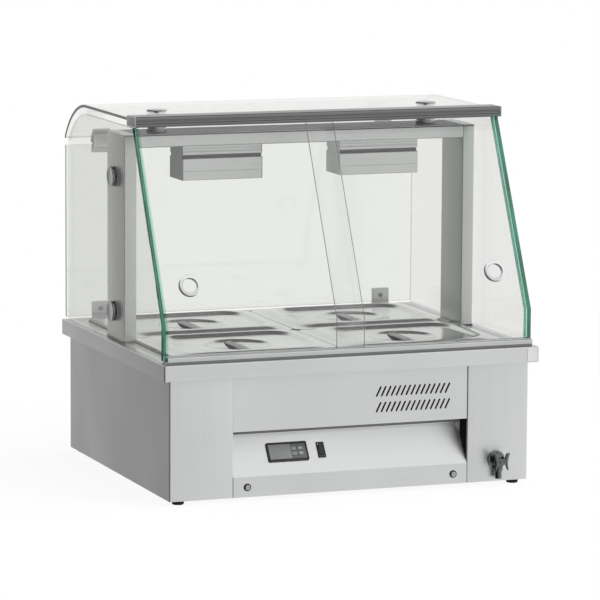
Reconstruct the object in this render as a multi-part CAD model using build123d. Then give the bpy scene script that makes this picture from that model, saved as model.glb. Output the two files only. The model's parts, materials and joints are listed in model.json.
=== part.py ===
from build123d import *
import math
import os

os.makedirs("parts", exist_ok=True)

# Heated display cabinet with a two-row pan well, all sizes in millimetres.
# X runs left to right, the service side faces -Y, Z is up and the feet stand on Z = 0.

# Cabinet
WELL_SIDE = 25.0
DECK_MARGIN_Y = 41.25
CASE_H = 250.0
FOOT_H = 8.0
FOOT_R = 11.0
FOOT_INSET_X = 22.0
FOOT_INSET_Y = 18.0
SHEET = 1.5
PILASTER_W = 121.0
PILASTER_RETURN = 56.0
PILASTER_FOLD = 22.0
PANEL_GAP = 0.5
SIDE_OVER = 15.0
FRONT_OVER = 15.5
BACK_OVER = 7.0
LIP_H = 29.0
VALVE_OUT = 30.0
GLAND_OUT = 16.0

# Pan well and gastronorm pans
PAN_PITCH_X = 325.0
PAN_PITCH_Y = 265.0
PAN_PLAY = 0.5
PAN_LEDGE = 8.0
PAN_WALL = 1.0
PAN_RIM_T = 3.0
PAN_RIM_W = 12.0
PAN_DEPTH = 100.0
PAN_CORNER = 18.0
REST_GAP = 0.3
TANK_BELOW_PAN = 18.0
TANK_GAP = 3.0
BAR_W = 14.0
BAR_H = 12.0
LID_T = 1.2
LID_FLANGE_W = 16.0
LID_FRAME_W = 26.0
LID_RISE = 6.5
LID_CORNER = 40.0
DISH_R = 53.0
DISH_DEPTH = 8.0
STRAP_W = 26.0
STRAP_T = 2.0

# Front panels
VENT_PANEL_SET = 2.0
VENT_PANEL_Z = 128.0
SOFFIT_D = 50.0
VENT_ROWS = 2
VENT_COLS = 15
VENT_PITCH_X = 9.7
VENT_PITCH_Z = 29.0
VENT_FROM_END = 39.2
VENT_Z0 = 158.5
VENT_SLOT_L = 21.0
VENT_SLOT_W = 3.6
VENT_LEAN = 26.0
KICK_TOP_Z = 45.0
SLOPE_TOP_Z = 114.0
SLOPE_BACK = 48.0
SCREW_FROM_END = 27.0
SCREW_Z = 26.0
SCREW_HEAD_R = 5.0
SCREW_HEAD_H = 2.4
SCREW_WASHER_R = 7.0
SCREW_WASHER_T = 1.2
SCREW_SHANK_R = 2.5
SCREW_L = 10.0
BADGE_W = 19.0
BADGE_H = 24.0
BADGE_T = 0.8
BADGE_FROM_END = 5.0

# Controls on the sloped panel
CONTROL_UP = 44.7
CONTROL_FROM_END = 113.0
CONTROL_W = 79.0
CONTROL_H = 38.0
CONTROL_BEZEL_T = 3.0
CONTROL_BODY_W = 71.0
CONTROL_BODY_H = 29.0
CONTROL_BODY_D = 58.0
WINDOW_W = 40.0
WINDOW_H = 20.0
WINDOW_T = 1.2
WINDOW_X = -14.0
BUTTON_W = 10.0
BUTTON_H = 7.0
BUTTON_STEP_X = 12.5
BUTTON_STEP_Y = 10.0
BUTTON_X = 18.5
BUTTON_PROUD = 1.2
BUTTON_TRAVEL = 0.8
BUTTON_GAP = 0.3
SWITCH_FROM_CONTROL = 65.5
SWITCH_W = 15.0
SWITCH_H = 31.0
SWITCH_FRAME_T = 2.0
SWITCH_BODY_W = 12.6
SWITCH_BODY_H = 27.6
SWITCH_BODY_D = 22.0
ROCKER_W = 10.0
ROCKER_L = 22.0
ROCKER_TILT = 9.0
ROCKER_D = 6.0
ROCKER_GAP = 0.5
ROCKER_PIN_R = 1.2
PIN_CLEAR = 0.05

# Drain valve on the right pilaster
VALVE_FROM_SIDE = 63.0
VALVE_Z = 48.0
VALVE_BODY_R = 11.0
VALVE_FLANGE_R = 17.0
VALVE_FLANGE_T = 3.0
VALVE_BODY_L = 20.0
VALVE_TAIL_R = 9.0
VALVE_TAIL_L = 12.0
VALVE_BORE_R = 4.5
SPOUT_R = 6.5
SPOUT_Y = 12.5
SPOUT_L = 33.0
SPOUT_TAIL_L = 14.0
SPOUT_COLLAR_R = 8.0
PLUG_R = 6.5
PLUG_L = 16.0
PLUG_WALL = 1.5
STEM_R = 3.0
HANDLE_L = 36.0
HANDLE_W = 11.0
HANDLE_T = 5.0
PIPE_R = 9.0
PIPE_WALL = 1.5
PIPE_BEND = 24.0
PIPE_BACK = 62.0

# Heating and wiring inside
ELEMENT_R = 4.25
ELEMENT_X = 110.0
ELEMENT_LIFT = 12.0
ELEMENT_FRONT = 90.0
ELEMENT_BEND = 60.0
ELEMENT_TAIL = 22.0
BUSH_R = 9.0
BUSH_T = 5.0
PROBE_R = 3.0
PROBE_L = 80.0
PROBE_LIFT = 40.0
THERMO_R = 15.0
THERMO_H = 14.0
THERMO_X = -200.0
THERMO_Y = 50.0
TERMINAL_X = -200.0
TERMINAL_W = 70.0
TERMINAL_D = 26.0
TERMINAL_H = 22.0
GLAND_X = -250.0
GLAND_Z = 60.0
GLAND_R = 11.0
GLAND_BORE_R = 4.5
GLAND_NUT_L = 8.0
GLAND_THREAD_R = 8.0

# Portal frame and lamps
POST_INSET = 1.0
POST_W = 24.0
POST_D = 102.0
POST_SET = 262.0
POST_H = 386.0
BEAM_H = 25.0
TUBE_WALL = 1.5
LAMP_X = 156.0
LAMP_W = 157.0
LAMP_D = 72.0
LAMP_SET = 4.0
LAMP_DROP = 63.5
LAMP_BOX_H = 40.0
LAMP_NECK_H = 8.0
LAMP_NECK_IN = 6.0
LAMP_TOP_IN = 2.0
LAMP_WALL = 1.5
BULB_R = 5.0
BULB_END_R = 7.5
BULB_END_L = 14.0
BULB_DROP = 22.0

# Glass
GLASS = 6.0
DOOR_GLASS = 5.0
GLASS_OVER = 8.0
ROOF_GAP = 32.0
ROOF_PAST_REAR = 3.3392
ROOF_R = 160.0
ROOF_ARC = 57.1
SIDE_TOP_GAP = 12.0
SIDE_FOOT_GAP = 3.0
SIDE_FRONT_GAP = 11.0
SIDE_REAR_GAP = 8.0
WASHER_T = 1.5
DISC_R = 19.0
DISC_T = 4.0
DISC_BOLT_R = 4.0
DISC_HOLE_R = 5.0
DISC_BOLT_L = 17.0
DISC_Z = (312.0, 563.0)
ROOF_FIX_FROM_END = 89.0
STANDOFF_FLANGE_T = 5.0
STANDOFF_R = 9.0
REAR_EDGE = 1.0
REAR_FOOT_GAP = 4.0
REAR_TOP_GAP = 15.0

# Rear glass hinges and stops
HINGE_FROM_END = 68.0
HINGE_W = 34.0
KNUCKLE_R = 4.0
KNUCKLE_GAP = 0.3
HINGE_PIN_R = 2.0
HINGE_DROP = 8.0
LEAF_T = 5.0
LEAF_H = 16.0
STOP_H = 32.0
STOP_D = 18.0
STOP_T = 5.0
STOP_FOOT_T = 3.0

# Sliding doors, their rail and their track
DOOR_PROUD = 1.0
DOOR_OVERLAP = 50.0
DOOR_BEND_H = 67.0
DOOR_SLOPE = 25.9
DOOR_BEND_R = 14.0
DOOR_PITCH = 10.0
RAIL_SHORT = 4.0
RAIL_SET = 10.0
RAIL_H = 13.0
RAIL_GROOVE_D = 8.5
RAIL_WALL = 6.0
GROOVE_PLAY = 0.5
TRACK_DROP = 9.0
TRACK_H = 19.0
TRACK_LIP = 2.6
TRACK_D = 46.0
TRACK_GRIP = 17.0
TRACK_GROOVE_D = 7.0
DOOR_IN_TRACK = 4.5
CAP_T = 2.0
TRACK_END_PLAY = 0.5
PULL_FROM_END = 59.0
PULL_Z = 394.0
PULL_R = 20.0
PULL_BORE_R = 14.0
PULL_NECK_R = 17.0
PULL_FLANGE_T = 1.2

# Derived places
BODY_W = 2 * (PAN_PITCH_X + WELL_SIDE)
BODY_D = 2 * (PAN_PITCH_Y + DECK_MARGIN_Y) - FRONT_OVER - BACK_OVER
OVERALL_D = VALVE_OUT + BODY_D + GLAND_OUT
FRONT = VALVE_OUT - OVERALL_D / 2
BACK = FRONT + BODY_D
HALF_W = BODY_W / 2
TOP_Z = FOOT_H + CASE_H
DECK_Z = TOP_Z - SHEET
LIP_FRONT = FRONT - FRONT_OVER
LIP_BACK = BACK + BACK_OVER
WELL_Y = (LIP_FRONT + LIP_BACK) / 2
OPEN_X = PAN_PITCH_X - PAN_LEDGE
OPEN_Y = PAN_PITCH_Y - PAN_LEDGE
PANEL_X = HALF_W - PILASTER_W - PANEL_GAP
SCREW_X = PANEL_X - SCREW_FROM_END
CONTROL_X = CONTROL_FROM_END - PANEL_X
SWITCH_X = CONTROL_X + SWITCH_FROM_CONTROL
VENT_X0 = PANEL_X - VENT_FROM_END - (VENT_COLS - 1) * VENT_PITCH_X
VALVE_X = HALF_W - VALVE_FROM_SIDE
GLASS_HALF_W = HALF_W + GLASS_OVER
DOOR_HALF_W = GLASS_HALF_W + DOOR_PROUD
RAIL_HALF_W = DOOR_HALF_W - RAIL_SHORT
PULL_X = DOOR_HALF_W - PULL_FROM_END
HINGE_X = GLASS_HALF_W - HINGE_FROM_END
ROOF_FIX_X = GLASS_HALF_W - ROOF_FIX_FROM_END
POST_OUT_X = HALF_W - POST_INSET
TANK_X = OPEN_X + TANK_GAP
TANK_Y = OPEN_Y + TANK_GAP
TANK_Z = DECK_Z - PAN_DEPTH - TANK_BELOW_PAN
RIM_Z = TOP_Z + REST_GAP
RIM_TOP_Z = RIM_Z + PAN_RIM_T
LID_Z = RIM_TOP_Z + REST_GAP
POST_Y0 = FRONT + POST_SET
POST_Y1 = POST_Y0 + POST_D
POST_MID_Y = (POST_Y0 + POST_Y1) / 2
POST_IN_X = POST_OUT_X - POST_W
BEAM_TOP_Z = TOP_Z + POST_H
BEAM_Z = BEAM_TOP_Z - BEAM_H
ROOF_Z = BEAM_TOP_Z + ROOF_GAP
ROOF_TOP_Z = ROOF_Z + GLASS
ARC_Z = ROOF_TOP_Z - ROOF_R
RAIL_FRONT = LIP_FRONT + RAIL_SET
RAIL_TOP_Z = TOP_Z + RAIL_H
GROOVE_W = DOOR_GLASS + 2 * GROOVE_PLAY
RAIL_BACK = RAIL_FRONT + RAIL_WALL + DOOR_PITCH + GROOVE_W + RAIL_WALL
DOOR_Y = RAIL_FRONT + RAIL_WALL + GROOVE_PLAY
DOOR_Z = RAIL_TOP_Z - RAIL_GROOVE_D + REST_GAP
BEND_Z = TOP_Z + DOOR_BEND_H
SLOPE = math.tan(math.radians(DOOR_SLOPE))
SLOPE_T = DOOR_GLASS / math.cos(math.radians(DOOR_SLOPE))
TRACK_HALF_W = DOOR_HALF_W + TRACK_END_PLAY
TRACK_Z = ROOF_Z - TRACK_DROP
TRACK_TOP_Z = TRACK_Z + TRACK_H
DOOR_TOP_Z = TRACK_Z + DOOR_IN_TRACK
DOOR_W = DOOR_HALF_W + DOOR_OVERLAP / 2
TRACK_DOOR_Y = DOOR_Y + (TRACK_Z - BEND_Z) * SLOPE
TRACK_FRONT = TRACK_DOOR_Y - GROOVE_PLAY - TRACK_LIP
TRACK_BACK = TRACK_FRONT + TRACK_D
TRACK_GROOVE_W = SLOPE_T + DOOR_IN_TRACK * SLOPE + 2 * GROOVE_PLAY
REAR_OUT_Y = LIP_BACK - REAR_EDGE
REAR_IN_Y = REAR_OUT_Y - GLASS
ROOF_BEND_Y = REAR_OUT_Y + ROOF_PAST_REAR - ROOF_R * math.sin(math.radians(ROOF_ARC))
ARC_END_Z = ARC_Z + ROOF_R * math.cos(math.radians(ROOF_ARC))
REAR_TOP_Z = ARC_END_Z - REAR_TOP_GAP
HINGE_Y = (REAR_OUT_Y + REAR_IN_Y) / 2 - 1.0
HINGE_Z = ARC_END_Z - HINGE_DROP
SIDE_IN_X = POST_OUT_X + WASHER_T
SIDE_OUT_X = SIDE_IN_X + GLASS
PANEL_TILT = math.degrees(math.atan2(SLOPE_TOP_Z - KICK_TOP_Z, SLOPE_BACK))
SLOPE_FRAME = Location((0, FRONT, KICK_TOP_Z), (PANEL_TILT, 0, 0))


def block(x0, x1, y0, y1, z0, z1):
    """Box between two corners."""
    centre = ((x0 + x1) / 2, (y0 + y1) / 2, (z0 + z1) / 2)
    return Pos(*centre) * Box(abs(x1 - x0), abs(y1 - y0), abs(z1 - z0))


def rod_x(r, x0, x1, y, z):
    """Cylinder along X."""
    return Pos((x0 + x1) / 2, y, z) * Rot(0, 90, 0) * Cylinder(r, abs(x1 - x0))


def rod_y(r, y0, y1, x, z):
    """Cylinder along Y."""
    return Pos(x, (y0 + y1) / 2, z) * Rot(90, 0, 0) * Cylinder(r, abs(y1 - y0))


def rod_z(r, z0, z1, x, y):
    """Cylinder along Z."""
    return Pos(x, y, (z0 + z1) / 2) * Cylinder(r, abs(z1 - z0))


def prism_x(face, x0, x1):
    """Extrude a face of the YZ plane from x0 to x1."""
    return extrude(Pos(x0, 0, 0) * face, amount=x1 - x0, dir=(1, 0, 0))


def polygon_yz(points):
    """Face of a closed outline of (y, z) points."""
    return make_face(Polyline(*[(0, y, z) for y, z in points], close=True))


def offset_path(points, t):
    """Move an open path of (y, z) points t to its right, with mitred corners."""
    lines = []
    for (y0, z0), (y1, z1) in zip(points, points[1:]):
        length = math.hypot(y1 - y0, z1 - z0)
        ny, nz = (z1 - z0) / length * t, -(y1 - y0) / length * t
        lines.append(((y0 + ny, z0 + nz), (y1 + ny, z1 + nz)))
    moved = [lines[0][0]]
    for (a, b), (c, d) in zip(lines, lines[1:]):
        ay, az = b[0] - a[0], b[1] - a[1]
        cy, cz = d[0] - c[0], d[1] - c[1]
        cross = ay * cz - az * cy
        s = ((c[0] - a[0]) * cz - (c[1] - a[1]) * cy) / cross
        moved.append((a[0] + s * ay, a[1] + s * az))
    moved.append(lines[-1][1])
    return moved


def folded_sheet(points, t, x0, x1):
    """Sheet of thickness t that follows a path of (y, z) points."""
    return prism_x(polygon_yz(points + offset_path(points, t)[::-1]), x0, x1)


def arc_point(r, angle):
    """Point of the roof's rear bend, the angle in degrees from the vertical."""
    a = math.radians(angle)
    return (ROOF_BEND_Y + r * math.sin(a), ARC_Z + r * math.cos(a))


def arc_yz(r, start, end):
    """Arc round the roof's bend axis."""
    mid = (start + end) / 2
    return ThreePointArc(*[(0, *arc_point(r, a)) for a in (start, mid, end)])


def line_yz(a, b):
    """Straight edge between two (y, z) points."""
    return Line((0, *a), (0, *b))


def rounded_block(w, d, r, z0, z1, x=0.0, y=0.0):
    """Upright block with rounded vertical edges."""
    return Pos(x, y, z0) * extrude(RectangleRounded(w, d, r), amount=z1 - z0)


def local_block(x, up, w, h, n0, n1):
    """Box in the sloped panel's frame: across, up the slope and out of it."""
    return SLOPE_FRAME * (Pos(x, up, (n0 + n1) / 2) * Box(w, h, n1 - n0))


def worktop():
    """Top sheet with its folded lip and the opening of the pan well."""
    x = HALF_W + SIDE_OVER
    outer = block(-x, x, LIP_FRONT, LIP_BACK, TOP_Z - LIP_H, TOP_Z)
    inner = block(-x + SHEET, x - SHEET, LIP_FRONT + SHEET, LIP_BACK - SHEET, TOP_Z - LIP_H, DECK_Z)
    well = block(-OPEN_X, OPEN_X, WELL_Y - OPEN_Y, WELL_Y + OPEN_Y, DECK_Z, TOP_Z)
    return outer - inner - well


def front_rail():
    """Lower door rail with two grooves."""
    z0 = RAIL_TOP_Z - RAIL_GROOVE_D
    rail = block(-RAIL_HALF_W, RAIL_HALF_W, RAIL_FRONT, RAIL_BACK, TOP_Z, RAIL_TOP_Z)
    edges = rail.edges().filter_by(Axis.X).group_by(Axis.Z)[-1]
    rail = fillet(edges, RAIL_WALL / 2)
    for i in range(2):
        y = RAIL_FRONT + RAIL_WALL + i * DOOR_PITCH
        rail -= block(-RAIL_HALF_W, RAIL_HALF_W, y, y + GROOVE_W, z0, RAIL_TOP_Z)
    return rail


def element_holes(r):
    """Cutters through the tank's rear wall for the element's legs and the probe."""
    y0 = WELL_Y + TANK_Y - PAN_LEDGE
    y1 = WELL_Y + TANK_Y + PAN_LEDGE
    cut = rod_y(PROBE_R, y0, y1, 0, TANK_Z + PROBE_LIFT)
    for x in (-ELEMENT_X, ELEMENT_X):
        cut += rod_y(r, y0, y1, x, TANK_Z + ELEMENT_LIFT)
    return cut


def water_tank():
    """Open water tank under the worktop, with its drain hole."""
    x0, y0 = TANK_X + SHEET, TANK_Y + SHEET
    outer = block(-x0, x0, WELL_Y - y0, WELL_Y + y0, TANK_Z, DECK_Z)
    inner = block(-TANK_X, TANK_X, WELL_Y - TANK_Y, WELL_Y + TANK_Y, TANK_Z + SHEET, DECK_Z)
    drain = rod_z(PIPE_R - PIPE_WALL, TANK_Z, TANK_Z + SHEET, VALVE_X, FRONT + PIPE_BACK)
    return outer - inner - drain - element_holes(ELEMENT_R)


def support_bars():
    """Cross bars under the pan rims, level with the worktop."""
    z0 = TOP_Z - BAR_H
    long_bar = block(-OPEN_X, OPEN_X, WELL_Y - BAR_W / 2, WELL_Y + BAR_W / 2, z0, TOP_Z)
    cross = block(-BAR_W / 2, BAR_W / 2, WELL_Y - OPEN_Y, WELL_Y + OPEN_Y, z0, TOP_Z)
    return long_bar + cross


def side_panel(s):
    """Side sheet with its front pilaster and the pilaster's inner return."""
    x_in = HALF_W - PILASTER_W
    side = block(s * HALF_W, s * (HALF_W - SHEET), FRONT, BACK - SHEET, FOOT_H, DECK_Z)
    front = block(s * HALF_W, s * x_in, FRONT, FRONT + SHEET, FOOT_H, DECK_Z)
    x1 = x_in + SHEET
    soffit = VENT_PANEL_Z + SHEET
    inner = block(s * x_in, s * x1, FRONT + SHEET, FRONT + PILASTER_RETURN, FOOT_H + SHEET, soffit)
    inner += block(s * x_in, s * x1, FRONT + SHEET, FRONT + PILASTER_FOLD, soffit, DECK_Z)
    panel = side + front + inner
    if s > 0:
        panel -= rod_y(VALVE_TAIL_R, FRONT - SHEET, FRONT + 2 * SHEET, VALVE_X, VALVE_Z)
    return panel


def back_panel():
    """Rear sheet with the hole of the cable gland."""
    panel = block(-HALF_W, HALF_W, BACK - SHEET, BACK, FOOT_H, DECK_Z)
    return panel - rod_y(GLAND_THREAD_R, BACK - 2 * SHEET, BACK + SHEET, GLAND_X, GLAND_Z)


def base_plate():
    """Bottom sheet."""
    x = HALF_W - SHEET
    return block(-x, x, FRONT + SHEET, BACK - SHEET, FOOT_H, FOOT_H + SHEET)


def vent_panel():
    """Upper front sheet with slanted slots and a soffit fold."""
    y = FRONT + VENT_PANEL_SET
    path = [(FRONT + SOFFIT_D, VENT_PANEL_Z), (y, VENT_PANEL_Z), (y, DECK_Z)]
    panel = folded_sheet(path, SHEET, -PANEL_X, PANEL_X)
    slot = extrude(SlotOverall(VENT_SLOT_L, VENT_SLOT_W), amount=4 * SHEET, both=True)
    slot = Rot(0, VENT_LEAN - 90, 0) * (Rot(90, 0, 0) * slot)
    for row in range(VENT_ROWS):
        for col in range(VENT_COLS):
            x = VENT_X0 + col * VENT_PITCH_X
            panel -= Pos(x, y, VENT_Z0 + row * VENT_PITCH_Z) * slot
    return panel


def control_panel():
    """Lower front sheet: kick strip, sloped face and upright top."""
    y = FRONT + SLOPE_BACK
    path = [(FRONT, FOOT_H), (FRONT, KICK_TOP_Z), (y, SLOPE_TOP_Z), (y, VENT_PANEL_Z - PANEL_GAP)]
    panel = folded_sheet(path, SHEET, -PANEL_X, PANEL_X)
    depth = 3 * SHEET
    panel -= local_block(CONTROL_X, CONTROL_UP, CONTROL_BODY_W, CONTROL_BODY_H, -depth, depth)
    panel -= local_block(SWITCH_X, CONTROL_UP, SWITCH_BODY_W, SWITCH_BODY_H, -depth, depth)
    for s in (-1, 1):
        panel -= rod_y(SCREW_SHANK_R, FRONT - SHEET, FRONT + 2 * SHEET, s * SCREW_X, SCREW_Z)
    return panel


def panel_screws():
    """Two screws with washers that hold the kick strip."""
    screws = []
    for s in (-1, 1):
        x = s * SCREW_X
        y = FRONT - SCREW_WASHER_T
        screw = rod_y(SCREW_WASHER_R, y, FRONT, x, SCREW_Z)
        screw += rod_y(SCREW_HEAD_R, y - SCREW_HEAD_H, y, x, SCREW_Z)
        screw += rod_y(SCREW_SHANK_R, FRONT, FRONT + SCREW_L, x, SCREW_Z)
        screws.append(screw)
    return Compound(children=screws)


def feet():
    """Four round rubber feet."""
    y0 = FRONT + FOOT_INSET_Y
    y1 = BACK - FOOT_INSET_Y
    x = HALF_W - FOOT_INSET_X
    return Compound(children=[rod_z(FOOT_R, 0, FOOT_H, a, b) for a in (-x, x) for b in (y0, y1)])


def blank_badge():
    """Plain plate on the right end of the lip, with nothing on it."""
    x1 = HALF_W + SIDE_OVER - BADGE_FROM_END
    z = TOP_Z - LIP_H / 2
    return block(x1 - BADGE_W, x1, LIP_FRONT - BADGE_T, LIP_FRONT, z - BADGE_H / 2, z + BADGE_H / 2)


def button_places():
    """Centres of the four buttons, across and up the slope."""
    x = CONTROL_X + BUTTON_X
    dx, dy = BUTTON_STEP_X / 2, BUTTON_STEP_Y / 2
    return [(x + i * dx, CONTROL_UP + j * dy) for j in (1, -1) for i in (-1, 1)]


def controller_housing():
    """Panel controller: bezel and body, with pockets for window and buttons."""
    body = local_block(CONTROL_X, CONTROL_UP, CONTROL_BODY_W, CONTROL_BODY_H, -CONTROL_BODY_D, 0)
    body += local_block(CONTROL_X, CONTROL_UP, CONTROL_W, CONTROL_H, 0, CONTROL_BEZEL_T)
    t = CONTROL_BEZEL_T
    body -= local_block(CONTROL_X + WINDOW_X, CONTROL_UP, WINDOW_W, WINDOW_H, t - WINDOW_T, t)
    w, h = BUTTON_W + 2 * BUTTON_GAP, BUTTON_H + 2 * BUTTON_GAP
    deep = t - BUTTON_TRAVEL - 2 * BUTTON_GAP - BUTTON_PROUD
    for x, up in button_places():
        body -= local_block(x, up, w, h, deep, t)
    return body


def controller_window():
    """Display window, flush in the bezel."""
    t = CONTROL_BEZEL_T
    return local_block(CONTROL_X + WINDOW_X, CONTROL_UP, WINDOW_W, WINDOW_H, t - WINDOW_T, t)


def controller_button(place):
    """One push button, standing proud of the bezel."""
    x, up = place
    t = CONTROL_BEZEL_T
    deep = t - BUTTON_GAP - BUTTON_PROUD
    return local_block(x, up, BUTTON_W, BUTTON_H, deep, t + BUTTON_PROUD)


def switch_frame():
    """Rocker switch housing with its pocket and pivot pins."""
    frame = local_block(SWITCH_X, CONTROL_UP, SWITCH_BODY_W, SWITCH_BODY_H, -SWITCH_BODY_D, 0)
    frame += local_block(SWITCH_X, CONTROL_UP, SWITCH_W, SWITCH_H, 0, SWITCH_FRAME_T)
    w = ROCKER_W + 2 * ROCKER_GAP
    h = ROCKER_L + 4 * ROCKER_GAP
    frame -= local_block(SWITCH_X, CONTROL_UP, w, h, -ROCKER_D - 4 * ROCKER_GAP, SWITCH_FRAME_T)
    pin = Rot(0, 90, 0) * Cylinder(ROCKER_PIN_R, w + SHEET)
    return frame + SLOPE_FRAME * (Pos(SWITCH_X, CONTROL_UP, 0) * pin)


def switch_rocker():
    """Rocker key, tilted to its off position round its pin."""
    bent = math.radians(ROCKER_TILT)
    half = ROCKER_L / 2
    top = SWITCH_FRAME_T + 1.0
    rise = half * math.tan(bent)
    outline = [(-half, top + rise), (0, top), (half, top + rise), (half * 0.8, -ROCKER_D / 2)]
    outline += [(0, -ROCKER_D), (-half * 0.8, -ROCKER_D / 2)]
    key = extrude(Pos(-ROCKER_W / 2, 0, 0) * polygon_yz(outline), amount=ROCKER_W, dir=(1, 0, 0))
    bore = Rot(0, 90, 0) * Cylinder(ROCKER_PIN_R + PIN_CLEAR, ROCKER_W)
    key = Rot(ROCKER_TILT, 0, 0) * (key - bore)
    return SLOPE_FRAME * (Pos(SWITCH_X, CONTROL_UP, 0) * key)


def drain_valve_body():
    """Valve body with its flange, inner tail and spout."""
    y = FRONT
    body = rod_y(VALVE_BODY_R, y - VALVE_BODY_L, y, VALVE_X, VALVE_Z)
    body += rod_y(VALVE_FLANGE_R, y - VALVE_FLANGE_T, y, VALVE_X, VALVE_Z)
    body += rod_y(VALVE_TAIL_R, y, y + VALVE_TAIL_L, VALVE_X, VALVE_Z)
    body += rod_z(SPOUT_R, VALVE_Z - SPOUT_L, VALVE_Z, VALVE_X, y - SPOUT_Y)
    collar_z = VALVE_Z - SPOUT_L + SPOUT_TAIL_L
    body += rod_z(SPOUT_COLLAR_R, collar_z, VALVE_Z - VALVE_BODY_R / 2, VALVE_X, y - SPOUT_Y)
    body -= rod_z(VALVE_BORE_R, VALVE_Z - SPOUT_L, VALVE_Z, VALVE_X, y - SPOUT_Y)
    seat = y - VALVE_BODY_L + PLUG_L
    body -= rod_y(VALVE_BORE_R, seat, y + VALVE_TAIL_L, VALVE_X, VALVE_Z)
    return body - rod_y(PLUG_R + PIN_CLEAR, y - VALVE_BODY_L, seat, VALVE_X, VALVE_Z)


def drain_valve_plug():
    """Hollow plug with its side port, stem and butterfly handle."""
    y0 = FRONT - VALVE_BODY_L
    y1 = y0 + PLUG_L - REST_GAP
    plug = rod_y(PLUG_R, y0, y1, VALVE_X, VALVE_Z)
    plug -= rod_y(PLUG_R - PLUG_WALL, y0 + PLUG_WALL, y1, VALVE_X, VALVE_Z)
    port_r = PLUG_R - 2 * PLUG_WALL
    plug -= rod_x(port_r, VALVE_X, VALVE_X + 2 * PLUG_R, FRONT - SPOUT_Y, VALVE_Z)
    plug += rod_y(STEM_R, FRONT - VALVE_OUT + HANDLE_T, y0, VALVE_X, VALVE_Z)
    handle = extrude(SlotOverall(HANDLE_L, HANDLE_W), amount=HANDLE_T)
    handle = Rot(90, 0, 0) * (Rot(0, 0, 90) * handle)
    return plug + Pos(VALVE_X, FRONT - VALVE_OUT + HANDLE_T, VALVE_Z) * handle


def drain_pipe():
    """Pipe from the tank's floor to the valve's tail."""
    y = FRONT + PIPE_BACK
    start = (VALVE_X, y, TANK_Z)
    corner = (VALVE_X, y, VALVE_Z)
    end = (VALVE_X, FRONT + VALVE_TAIL_L, VALVE_Z)
    path = FilletPolyline(start, corner, end, radius=PIPE_BEND)
    ring = Circle(PIPE_R) - Circle(PIPE_R - PIPE_WALL)
    return sweep(Plane(start, z_dir=(0, 0, -1)) * ring, path=path)


def heating_element():
    """U-shaped tubular element with its two wall bushings."""
    z = TANK_Z + ELEMENT_LIFT
    y_back = WELL_Y + TANK_Y + SHEET + ELEMENT_TAIL
    y_front = WELL_Y - TANK_Y + ELEMENT_FRONT
    points = [(-ELEMENT_X, y_back, z), (-ELEMENT_X, y_front, z)]
    points += [(ELEMENT_X, y_front, z), (ELEMENT_X, y_back, z)]
    path = FilletPolyline(*points, radius=ELEMENT_BEND)
    tube = sweep(Plane(points[0], z_dir=(0, -1, 0)) * Circle(ELEMENT_R), path=path)
    wall = WELL_Y + TANK_Y + SHEET
    for x in (-ELEMENT_X, ELEMENT_X):
        tube += rod_y(BUSH_R, wall, wall + BUSH_T, x, z)
    return tube


def temperature_probe():
    """Thermostat bulb through the tank's rear wall."""
    z = TANK_Z + PROBE_LIFT
    wall = WELL_Y + TANK_Y + SHEET
    probe = rod_y(PROBE_R, wall + BUSH_T - PROBE_L, wall + BUSH_T, 0, z)
    return probe + rod_y(BUSH_R, wall, wall + BUSH_T, 0, z)


def safety_thermostat():
    """Overheat cut-out under the tank's floor."""
    return rod_z(THERMO_R, TANK_Z - THERMO_H, TANK_Z, THERMO_X, THERMO_Y)


def terminal_block():
    """Mains terminal block on the base."""
    z0 = FOOT_H + SHEET
    y1 = BACK - SHEET - GLAND_NUT_L - TERMINAL_D
    x0 = TERMINAL_X - TERMINAL_W / 2
    return block(x0, x0 + TERMINAL_W, y1 - TERMINAL_D, y1, z0, z0 + TERMINAL_H)


def cable_gland():
    """Cable gland in the rear sheet, bored for the cable."""
    gland = rod_y(GLAND_R, BACK, BACK + GLAND_OUT, GLAND_X, GLAND_Z)
    gland += rod_y(GLAND_THREAD_R, BACK - SHEET, BACK, GLAND_X, GLAND_Z)
    inner = BACK - SHEET - GLAND_NUT_L
    gland += rod_y(GLAND_R, inner, BACK - SHEET, GLAND_X, GLAND_Z)
    return gland - rod_y(GLAND_BORE_R, inner, BACK + GLAND_OUT, GLAND_X, GLAND_Z)


def pan_centre(col, row):
    """Centre of a pan, the column and row counted as -1 or 1."""
    return col * PAN_PITCH_X / 2, WELL_Y + row * PAN_PITCH_Y / 2


def pan(col, row):
    """Half-size pan with its rim."""
    x, y = pan_centre(col, row)
    w, d = PAN_PITCH_X - 2 * PAN_PLAY, PAN_PITCH_Y - 2 * PAN_PLAY
    body_w, body_d = w - 2 * PAN_RIM_W, d - 2 * PAN_RIM_W
    bottom = RIM_TOP_Z - PAN_DEPTH
    body = rounded_block(body_w, body_d, PAN_CORNER, bottom, RIM_TOP_Z, x, y)
    body += rounded_block(w, d, PAN_CORNER, RIM_Z, RIM_TOP_Z, x, y)
    inner_w, inner_d = body_w - 2 * PAN_WALL, body_d - 2 * PAN_WALL
    inner_r = PAN_CORNER - PAN_WALL
    return body - rounded_block(inner_w, inner_d, inner_r, bottom + PAN_WALL, RIM_TOP_Z, x, y)


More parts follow.
